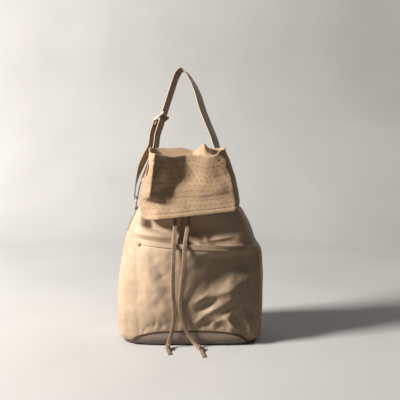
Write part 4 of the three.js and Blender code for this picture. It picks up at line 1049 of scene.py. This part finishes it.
# %% Flap
turn = np.linspace(-WING, WING, FLAP_COLUMNS)[None, :]
up = np.linspace(0, 1, WALL_ROWS)[:, None]
low, high = edge_height(turn), rim_height(turn)
wall = hood(turn, low + (high - low) * up)
top = flap_top(turn, np.linspace(0, 1, TOP_ROWS + 1)[1:, None])
flap_plain = np.concatenate([wall, top])
for _ in range(ROW_ROUNDS):
    soften(flap_plain)
for _ in range(COLUMN_ROUNDS):
    soften(flap_plain.swapaxes(0, 1))
x, y, z = (flap_plain[..., k] for k in range(3))
normals = grid_normals(flap_plain)
outwards = np.sign(np.sum(normals[WALL_ROWS // 2] * (flap_plain[WALL_ROWS // 2] - [0, 0, 330]), -1).mean())
normals = normals * outwards
row_number = np.arange(WALL_ROWS + TOP_ROWS)[:, None]
front = smooth(-y[WALL_ROWS // 2], 20, 44) * (1 - smooth(row_number, WALL_ROWS - 2, WALL_ROWS + 22))
under_rim = np.minimum(z, high - 2)
fold = folds(x, under_rim, FLAP_FOLDS, 1.4) + flap_corner(x, under_rim) + flap_band(x, under_rim)
over_edge = z - low
fold = (fold + HEM_KICK * (1 - smooth(over_edge, 0, 36)) * smooth(x, -92, -62)) * front
shift = 0.32 * waves(x, z, 21, 34) + 0.25 * waves(y * 2, z, 22, 20)
shift = shift + 0.9 * (1 - smooth(over_edge, 6, 7.5)) - 0.5 * bump(over_edge, 8, 1.2)
left_wing = smooth(-np.sin(turn), 0.8, 0.97)
tuck = smooth(z, 337, 347) * (1 - smooth(z, 356, 394))
shift = shift + (2.5 * bump(z, 335, 6) - 9 * tuck) * left_wing
flap_points = flap_plain + normals * shift[..., None] - np.array([0, 1, 0]) * fold[..., None]
steps_up = np.linalg.norm(np.diff(flap_points, axis=0), axis=-1)
sheet_v = np.vstack([np.zeros((1, FLAP_COLUMNS)), np.cumsum(steps_up, 0)])
sheet_u = np.broadcast_to(lengths(flap_points[0]), sheet_v.shape)
add_grid(
    "flap", flap_points, flap_weave, "flap", ("flap_cover", "flap_facing"), inside=(0, -10, 330),
    uv=np.stack([sheet_u, sheet_v], -1), thick=2.4,
)

# %% [markdown]
# ## Stitches
#
# A stitch is a short rounded stroke of thread. One template of a few faces is laid along a line by arrays:
# each copy takes its direction from the line and stands on the surface.


# %% Stitch rows
def stitch_points(line, outward, stitch, gap, width, height):
    """Spindles along a line: at share a of its half length, a stitch is sqrt(1 - a^2) of its full width."""
    run = lengths(line)
    middles = np.arange(stitch, run[-1] - stitch, stitch + gap)
    at = [np.stack([np.interp(middles + d, run, line[:, k]) for k in range(3)], -1) for d in (-0.4, 0, 0.4)]
    ahead = unit(at[2] - at[0])
    up = unit(np.stack([np.interp(middles, run, outward[:, k]) for k in range(3)], -1))
    side = np.cross(up, ahead)
    share = np.array([-1, -0.75, 0, 0.75, 1])
    around = np.arange(6) * np.pi / 3
    girth = np.sqrt(1 - share**2)[:, None]
    a = share[:, None] * stitch / 2
    b = girth * np.cos(around) * width / 2
    c = girth * np.sin(around) * height
    axes = (m[:, None, None] for m in (ahead, side, up))
    return at[1][:, None, None] + sum(v * w[..., None] for v, w in zip(axes, (a, b, c)))


def add_stitches(name, rows, finish, body):
    """All the stitches of several rows as one piece."""
    points = np.concatenate(rows)
    count, stations, around = points.shape[:3]
    one = grid_quads(stations, around, True)
    quads = (one[None] + np.arange(count)[:, None, None] * stations * around).reshape(-1, 4)
    return add_piece(name, points, quads, finish, body, inside=points[0, 2].mean(0))


flap_normals = grid_normals(flap_points) * outwards
STITCH_ROWS, HEM_DEPTH = 11, 9.2
flap_rows = []
for k in range(STITCH_ROWS):
    row = int(8 + k * (WALL_ROWS - 12) / STITCH_ROWS)
    flap_rows.append(stitch_points(flap_points[row], flap_normals[row], 7.5, 3.2, 0.75, 0.35))
add_stitches("flap_stitches", flap_rows, dark_thread, "flap")

hem_x = np.linspace(-108, 108, 300)
hem_z = pocket_mouth(hem_x) - HEM_DEPTH
hem_line = pocket_point(hem_x, hem_z, POCKET_OUT + pocket_shift(hem_x, hem_z))
hem_out = stacked(hem_x * 0.004, -1.0, 0.2)
hem_rows = [stitch_points(hem_line, hem_out, 3.0, 1.4, 0.8, 0.4)]
add_stitches("pocket_stitches", hem_rows, pale_thread, "bag")

# %% [markdown]
# ## Standing rear of the flap
#
# Behind the mouth the same sheet stands up from a sewn strip on the back of the pouch to the fold, where its
# upper edge meets the flap.


# %% Flap rear
REAR_FOOT, REAR_TOP, STRIP_TOP = 254.0, 397.2, 265.0


def rear_point(share, z, out=0.0):
    """The hood's rear half, pushed out wherever the pouch's back would come through it below the mouth."""
    spread = 0.72 + 0.28 * smooth(z, REAR_FOOT, NECK)
    point = hood(np.pi - share * spread * (np.pi - REAR - 0.03), z, -out)
    x = point[..., 0]
    clear = 0.6 + 1.8 * smooth(z, REAR_FOOT, SHOULDER)
    on_pouch = np.where(np.abs(x) < half_width(z), skin_y(x, z, clear + 2.5 + out), -1e3)
    push = np.maximum(on_pouch - point[..., 1], 0) * (1 - smooth(z, 360, 380))
    point[..., 1] = point[..., 1] + push
    return point


share = np.linspace(-1, 1, 170)[None, :]
rise = np.linspace(REAR_FOOT, REAR_TOP, 110)[:, None]
rise = rise - rim_dip(rear_point(share, rise)[..., 0]) * smooth(rise, 340, 397)
strip = 1.5 * (1 - smooth(rise, STRIP_TOP, STRIP_TOP + 1.5)) - 0.4 * bump(rise, STRIP_TOP + 2, 1.0)
ripple = 0.5 * waves(90 * share, rise, 31, 40) * smooth(rise, 268, 300) * (1 - smooth(rise, 375, 392))
rear_points = rear_point(share, rise, strip + ripple + 0.6 * smooth(rise, 375, 392))
rear_sheet = add_grid(
    "flap_rear_sheet", rear_points, flap_weave, None, ("flap_rear", "flap_seam_strip"), inside=(0, 0, 320),
    uv=stacked(share * 95, rise), thick=2.3,
)
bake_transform(rear_sheet)
strip_line = rear_point(np.linspace(-0.97, 0.97, 240), np.full(240, STRIP_TOP - 2.5), 1.55)
strip_rows = [stitch_points(strip_line, strip_line * [0.3, 1, 0] / 50, 3.2, 1.6, 0.8, 0.4)]
add_stitches("strip_stitches", strip_rows, dark_thread, "bag")

# %% [markdown]
# ## Rings and tabs
#
# A tab of leather is sewn to each side, wraps the ring's wire and comes back. The ring could stay as the
# solid model has it, but a finer round of the same size shines without facets.

# %% Rings
RING_RADIUS, WIRE = 12.5, 3.0
RING_AT = {side: np.mean([np.array(c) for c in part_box(f"ring_{side}")], 0) / MM for side in ("left", "right")}
AXIS = unit(RING_AT["right"] - RING_AT["left"])
UP = np.array([0.0, 0, 1])
BACK = np.cross(UP, AXIS)
turn = full_turn(96)[:, None]
for side, middle in RING_AT.items():
    path = middle + RING_RADIUS * (np.cos(turn) * BACK + np.sin(turn) * UP)
    wire = looped(sweep(path, AXIS, strip_outline(WIRE, WIRE, 20, 2.0), closed=True))
    add_grid(f"wire_ring_{side}", wire, nickel, "strap_arch", (f"ring_{side}",), ring=True, inside=path[0])


# %% Tabs
def side_point(sign, y, z):
    """A point of the pouch's side: the right one for a sign of 1, the left one for -1."""
    return stacked(sign * skin_x(y, z, 0.0), y, z)


TAB_BACK = {"left": 10.0, "right": 30.0}
TAB_FOOT, TAB_TOP, TAB_WIDTH, TAB_THICK, LOOP_ROUND = 223.5, 263.5, 12.0, 2.2, 3.1
for side, middle in RING_AT.items():
    sign = -1 if side == "left" else 1
    y, z = TAB_BACK[side], np.linspace(TAB_FOOT, TAB_TOP, 16)
    foot = side_point(sign, y, z)
    outward = unit(np.cross(side_point(sign, y + 1, z) - foot, side_point(sign, y, z + 1) - foot))
    outward *= np.sign(outward[:, :1] * sign)
    climb = np.linspace(0, 1, len(z))[:, None]
    stem = foot + outward * (0.6 + 1.2 * climb + TAB_THICK / 2)
    lowest = middle - [0, 0, RING_RADIUS - 0.8]
    angle = np.radians(np.linspace(-70, 235, 26))[:, None]
    loop = lowest + LOOP_ROUND * (np.cos(angle) * sign * AXIS + np.sin(angle) * UP * 1.15)
    path = even(np.vstack([stem, loop]), 90)
    blend_in = smooth(np.linspace(0, 1, 90), 0.45, 0.7)[:, None]
    across = (1 - blend_in) * np.cross(UP, outward[8]) * sign + blend_in * BACK
    add_strip(
        f"ring_tab_{side}", path, across, strip_outline(TAB_WIDTH, TAB_THICK, 20, 5.0), strap_leather, "bag",
        stands_for=(f"strap_tab_{side}",),
    )

# %% [markdown]
# ## Strap
#
# One long strap: its right end is folded round the right ring and riveted, it rises to a narrow peak, passes
# a three-bar slider, turns under the left ring and comes back to the slider, where its end is sewn round the
# third bar. In the plane that leans back through both rings it is one smooth curve. The doubled run crosses
# the slider's joint, so it is a piece of its own that runs from just above the left ring to the slider.

# %% Strap plane
LEAN = np.radians(17.5)
STRAP_RISE, PEAK_X = 302.0, -1.5
TWIST = (0.13, 0.45)  # shares of the rise between which the strap twists
STRAP_WIDTH, END_WIDTH, STRAP_THICK = 24.0, 13.0, 2.9
HALF_SPAN = np.linalg.norm(RING_AT["right"] - RING_AT["left"]) / 2
PLANE_MIDDLE = (RING_AT["left"] + RING_AT["right"]) / 2
PLANE_UP = np.sin(LEAN) * BACK + np.cos(LEAN) * UP
PLANE_BACK = np.cos(LEAN) * BACK - np.sin(LEAN) * UP
TURN_RADIUS = WIRE / 2 + 0.35 + 1.5
TURN_HEIGHT = np.sqrt(RING_RADIUS**2 - (END_WIDTH / 2) ** 2)
RIGHT_RUN = [(0.1, 1.0), (0.17, 0.905), (0.28, 0.775), (0.4, 0.655), (0.478, 0.6), (0.59, 0.491), (0.7, 0.39),
             (0.82, 0.305), (0.9, 0.219), (0.98, 0.09)]
LEFT_TOP, STRAIGHT_TOP, STRAIGHT_FOOT = (0.975, 0.085), (0.828, 0.241), (0.497, 0.546)
LEFT_RUN = [(0.403, 0.59), (0.31, 0.71), (0.222, 0.825), (0.13, 0.92)]


def to_bag(vectors):
    """Strap coordinates (along the rings' line, backwards, up) as directions in the bag's frame."""
    return vectors[..., :1] * AXIS + vectors[..., 1:2] * PLANE_BACK + vectors[..., 2:] * PLANE_UP


def in_plane(points):
    """Places in strap coordinates, which start midway between the rings, in the bag's frame."""
    return PLANE_MIDDLE + to_bag(points)


def run_points(side, shares):
    """Shares of the rise and of the way from the peak to a ring, as strap coordinates."""
    rise, way = np.array(shares, float).reshape(-1, 2).T
    across = PEAK_X + (side * HALF_SPAN - PEAK_X) * way
    return np.stack([across, np.zeros_like(rise), STRAP_RISE * rise], -1)


def ring_turn(side):
    """Half a turn under a ring's wire, from the left side to the right side."""
    angle = np.pi * (1 + np.linspace(0, 1, 15))
    x = side * HALF_SPAN + TURN_RADIUS * np.cos(angle)
    return np.stack([x, np.zeros_like(x), TURN_HEIGHT + TURN_RADIUS * np.sin(angle)], -1)


def strap_across(z, turns=TWIST, more=0.0):
    """The strap's width direction turns towards the front by 30 degrees, or more, on its way up."""
    twist = np.radians(30 + more) * smooth(z, STRAP_RISE * turns[0], STRAP_RISE * turns[1])
    return np.stack([np.sin(twist), np.cos(twist), np.zeros_like(twist)], -1)


def strap_width(z):
    """The strap is narrower near the rings."""
    return END_WIDTH + (STRAP_WIDTH - END_WIDTH) * smooth(z, STRAP_RISE * 0.09, STRAP_RISE * 0.36)


def beside(line, distance):
    """A line off the strap's face; positive is on the left of its direction."""
    square = unit(np.cross(unit(np.gradient(line, axis=0)), strap_across(line[:, 2])))
    return line + square * distance[:, None]


# %% Strap lines
def over_wire(leg):
    """The same place, but just above the ring's wire."""
    return leg * [1, 1, 0] + [0, 0, TURN_HEIGHT + WIRE]


right_leg, left_leg = ring_turn(1)[-1:], ring_turn(-1)[-1:]
top, foot = run_points(-1, STRAIGHT_TOP), run_points(-1, STRAIGHT_FOOT)
straight = top + (foot - top) * np.linspace(0, 1, 6)[:, None]
main = spline(
    np.vstack([right_leg, over_wire(right_leg), run_points(1, RIGHT_RUN), run_points(1, (1, 0)),
               run_points(-1, LEFT_TOP), straight, run_points(-1, LEFT_RUN), over_wire(left_leg), left_leg]),
    420,
)
SLIDER_Z, SLIDER_TILT, SEWN_PITCH, BAR, CHEEK = 0.634 * STRAP_RISE, np.radians(38), 10.0, 3.4, 2.0
bar_pitch = (3.0 + 0.9 + BAR) / np.sin(SLIDER_TILT)
link = np.array([np.cos(SLIDER_TILT), 0, -np.sin(SLIDER_TILT)])
inner_bar, middle_bar = link * bar_pitch / 2, -link * bar_pitch / 2
sewn_bar = -link * (bar_pitch / 2 + SEWN_PITCH)
LOOP_RADIUS, LOOP_LEG, FOLD_TOP = BAR / 2 + 0.3 + 1.2, 14.0, 46.0
slider_middle = foot[0] + (top - foot)[0] * (SLIDER_Z - foot[0, 2]) / (top - foot)[0, 2]
slider_x = unit((top - foot)[0])
slider_y = strap_across(np.array(SLIDER_Z))
slider_y = unit(slider_y - slider_x * np.dot(slider_x, slider_y))
slider_z = np.cross(slider_x, slider_y)
return_offset = sewn_bar[2] + LOOP_RADIUS


def from_slider(points):
    """The slider's own coordinates to the strap's."""
    x, y, z = (points[..., k, None] for k in range(3))
    return slider_middle + x * slider_x + y * slider_y + z * slider_z


right_half, left_half = main[: len(main) // 2], main[len(main) // 2 :]
near_right = right_half[right_half[:, 2] < FOLD_TOP]
closing = smooth(near_right[:, 2], TURN_HEIGHT, FOLD_TOP)
fold = beside(near_right, 2 * TURN_RADIUS * (1 - closing) + 3.3 * closing)[::-1]
near_left = left_half[left_half[:, 2] < SLIDER_Z + 1.2 * (sewn_bar[0] - LOOP_LEG)]
climb = np.clip((near_left[:, 2] - TURN_HEIGHT) / (near_left[0, 2] - TURN_HEIGHT), 0, 1)
spread = 2 * TURN_RADIUS * (1 - climb) + return_offset * climb + 3 * np.sin(np.pi * climb) ** 2
doubled = beside(near_left, -spread)[::-1]
print("strap", round(lengths(main)[-1]), "mm between the rings")


# %% Strap pieces
def strap_strip(name, line, body, thick, turns=TWIST, **more):
    """A stretch of strap along a line in strap coordinates, a little thicker along its middle."""
    path = even(line, max(60, int(lengths(line)[-1] / 2)))
    width = strap_width(path[:, 2])[:, None]
    flat, tall = strip_outline(2.0, 2.0, 28, 5.0).T
    crown = 1 + 0.12 * (1 - flat**2)
    outline = stacked(flat * width / 2, tall * crown * thick / 2)
    across = to_bag(strap_across(path[:, 2], turns, 18 * smooth(path[:, 0], 4, 44)))
    return add_strip(name, in_plane(path), across, outline, strap_leather, body, **more)


stub = doubled[doubled[:, 2] < TURN_HEIGHT + 14]
belt = np.vstack([fold[:-1], ring_turn(1)[:-1], main, ring_turn(-1)[::-1][1:], stub[1:]])
strap_strip("strap_belt", belt, "strap_arch", STRAP_THICK, stands_for=("strap",))
angle = np.pi * (0.5 - np.linspace(0, 1, 17))
around = LOOP_RADIUS * np.stack([np.cos(angle), np.zeros_like(angle), np.sin(angle)], -1) + sewn_bar
legs = np.array([[-LOOP_LEG, 0, LOOP_RADIUS], [-0.8 * LOOP_LEG, 0, 1.4 - LOOP_RADIUS]]) + sewn_bar
rest = doubled[doubled[:, 2] >= TURN_HEIGHT + 14.4]
leg_start = from_slider(legs[:1])
doubled_strap = strap_strip(
    "strap_doubled", np.vstack([rest, leg_start, from_slider(around), from_slider(legs[1:])]), None, 2.4,
    turns=(0.085, 0.28), stands_for=("strap_return", "return_loop"),
)
tuple(in_plane(rest[0]) * MM)
tuple(in_plane(leg_start[0]) * MM)
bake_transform(doubled_strap)


# %% Slider
def rod(middle, reach):
    """A round bar across the slider, with eased ends."""
    ease = np.array([-1, -0.96, -0.88, 0, 0.88, 0.96, 1.0])[:, None]
    girth = BAR / 2 * np.array([0.6, 0.9, 1, 1, 1, 0.9, 0.6])[:, None, None]
    circle = strip_outline(2.0, 2.0, 18, 2.0)
    return capped(sweep(middle + ease * [0, reach, 0], (1.0, 0, 0), circle * girth))


inside, CHEEK_ROUND = STRAP_WIDTH / 2 + 0.6, 3.2
frame_rows = [rod(bar, inside + 1) for bar in (inner_bar, middle_bar)]
reach = np.linalg.norm(inner_bar - sewn_bar) / 2 + CHEEK_ROUND
along = np.sin(np.linspace(-1, 1, 41) * np.pi / 2) * reach
over = np.maximum(np.abs(along) - (reach - CHEEK_ROUND), 0)
tall = np.sqrt(np.maximum(CHEEK_ROUND**2 - over**2, 0.05))
outline = strip_outline(2.0, 2.0, 18, 3.0) * np.stack([tall, np.full(41, CHEEK / 2)], -1)[:, None]
for sign in (-1, 1):
    centre = (inner_bar + sewn_bar) / 2 + [0, sign * (inside + CHEEK / 2), 0]
    frame_rows.append(capped(sweep(centre + link * along[:, None], np.cross([0.0, 1, 0], link), outline)))
points, quads, start = [], [], 0
for rows in frame_rows:
    points.append(in_plane(from_slider(rows.reshape(-1, 3))))
    quads.append(grid_quads(*rows.shape[:2], True) + start)
    start += len(points[-1])
slider_at = in_plane(slider_middle)
add_piece(
    "slider_links", np.concatenate(points), np.concatenate(quads), nickel, "slider", ("slider_frame",),
    inside=slider_at,
)
sewn = in_plane(from_slider(rod(sewn_bar, inside + CHEEK)))
add_grid("sewn_bar", sewn, nickel, "slider", ("slider_bar",), ring=True, inside=slider_at)

# %% [markdown]
# ## Rivets and eyelets
#
# Small turned parts: a profile spun round its axis.


# %% Turned parts
def turned(profile, middle, outward, count=40):
    """A profile of (radius, height) pairs spun round an outward axis."""
    outward = unit(np.array(outward, float))
    side = unit(np.cross(outward, [0.3, 0.5, 0.8]))
    other = np.cross(outward, side)
    turn = np.arange(count) * 2 * np.pi / count
    radius, height = np.array(profile, float).T
    ring = np.cos(turn)[:, None] * side + np.sin(turn)[:, None] * other
    return np.array(middle) + radius[:, None, None] * ring + (height[:, None] * outward)[:, None]


DOME = [
    (0, -2.4), (4.3, -2.4), (4.5, 0.0), (4.45, 0.6), (4.0, 0.8), (3.7, 0.85), (3.4, 1.2), (2.4, 1.62),
    (1.2, 1.8), (0, 1.85),
]
RIVETS = {
    "tab_rivet_left": ((-128.76, 10.57, 241.01), (-0.9045, 0.1497, 0.3993), "bag"),
    "tab_rivet_right": ((118.43, 32.39, 240.87), (0.6839, 0.6336, 0.3619), "bag"),
    "pocket_rivet_left": ((-105.16, -56.82, 207.78), (-0.5217, -0.8308, 0.194), "bag"),
    "pocket_rivet_right": ((105.16, -58.86, 198.32), (0.5235, -0.8377, 0.1559), "bag"),
    "strap_rivet": ((94.38, 42.55, 301.56), (-0.9682, -0.1749, -0.1789), "strap_arch"),
}
for name, (middle, outward, body) in RIVETS.items():
    finish, sunk = (enamel, 3.4) if name.startswith("pocket") else (nickel, 0.3)
    middle, outward = np.array(middle), np.array(outward)
    head = turned(DOME, middle - sunk * outward, outward)
    label = name.replace("rivet", "dome")
    add_grid(label, head, finish, body, (name,), ring=True, inside=middle + 0.8 * outward)
LIP = [
    (4.4, -2.0), (4.4, 0.4), (4.9, 1.0), (5.9, 1.25), (7.0, 0.95), (7.6, 0.2), (7.5, -0.1), (5.1, -0.1),
    (5.1, -2.0), (4.4, -2.0),
]
for side, x in (("left", -29.0), ("right", -1.0)):
    lip = turned(LIP, (x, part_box(f"eyelet_{side}")[0].y / MM + 1.2, CHANNEL), (0, -1, 0), 48)
    add_grid(
        f"ring_eyelet_{side}", lip, nickel, "bag", (f"eyelet_{side}",), ring=True, inside=(x, 0, CHANNEL),
    )

# %% [markdown]
# ## What stays of the solid model
#
# Only the stiffening board under the lining keeps its solid, with a fibre finish.

# %% Board
board_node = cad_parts["base_board"]
board_node.data.materials.clear()
board_node.data.materials.append(board.material)

# %% [markdown]
# ## Floor and light
#
# A plain pale sweep and four lamps: a key from the left front, as in the photograph, a weak fill, one above
# and one behind. Floor and room are pale to the camera and in reflections only. To light that bounces they
# are darker, so that it doesn't fill the shadows.


# %% Floor
def seen_share(tree):
    """1 where a ray comes from the camera, a reflection or glass, 0 where it only carries light around."""
    rays = [tree.node("LightPath", output=f"Is {kind} Ray") for kind in ("Camera", "Glossy", "Transmission")]
    return sum(rays).within(0.0, 1.0)


FLOOR_FRONT, CURVE_FROM, CURVE, WALL_TOP, HALF_WIDTH = -5.0, 0.9, 0.8, 4.5, 5.5  # metres
bend = np.linspace(0, np.pi / 2, 14)[1:]
along = np.concatenate([np.linspace(FLOOR_FRONT, CURVE_FROM, 12), CURVE_FROM + CURVE * np.sin(bend)])
height = np.concatenate([np.zeros(12), CURVE * (1 - np.cos(bend))])
along, height = np.append(along, along[-1]), np.append(height, WALL_TOP)
wide = np.linspace(-HALF_WIDTH, HALF_WIDTH, 9)
sweep_points = stacked(wide[None], along[:, None], height[:, None])
floor_mesh = bpy.data.meshes.new("floor")
floor_mesh.from_pydata(sweep_points.reshape(-1, 3).tolist(), [], grid_quads(*sweep_points.shape[:2]).tolist())
floor_mesh.shade_smooth()
floor_finish = Finish("floor_paint")
tint = floor_finish.place.noise(3.0).within(0.3, 0.7)
pale = tint.blend(colour(184, 182, 178), colour(192, 190, 186))
floor_finish.give(Base_Color=seen_share(floor_finish.tree).blend(colour(104, 102, 99), pale), Roughness=0.8)
floor_mesh.materials.append(floor_finish.material)
add_object("floor", floor_mesh)


# %% Lamps
def lamp(name, place, target, size, power, tint):
    """A square area lamp that faces a point."""
    light = bpy.data.lights.new(name, "AREA")
    light.size = size
    light.energy = power
    light.color = tint
    holder = add_object(name, light)
    holder.location = place
    direction = np.array(target) - np.array(place)
    level = np.hypot(direction[0], direction[1])
    holder.rotation_euler = (np.arctan2(level, -direction[2]), 0, np.arctan2(-direction[0], direction[1]))


lamp("key", (-2.70, -0.78, 1.81), (0, 0, 0.22), 0.54, 246, (1.0, 0.985, 0.96))
lamp("fill", (1.6, -1.6, 1.2), (0, 0, 0.25), 1.6, 0.5, (0.95, 0.97, 1.0))
lamp("top", (0.1, 0.5, 1.9), (0, 0, 0.2), 1.4, 2, (1.0, 1.0, 1.0))
lamp("back", (1.1, 1.9, 1.2), (0, 0, 0.25), 1.6, 26, (1.0, 0.99, 0.97))
world = bpy.data.worlds.new("room")
world.use_nodes = True
backdrop = world.node_tree.nodes["Background"].inputs
backdrop["Color"].default_value = (0.94, 0.94, 0.94, 1)
room = Wire(world.node_tree)
room.join(seen_share(room) * 0.42 + 0.045, backdrop["Strength"])
bpy.context.scene.world = world
bpy.context.scene.view_settings.view_transform = "Standard"
print("lamps", [light.name for light in bpy.data.lights])

# %% Last update of the scene
bpy.context.view_layer.update()
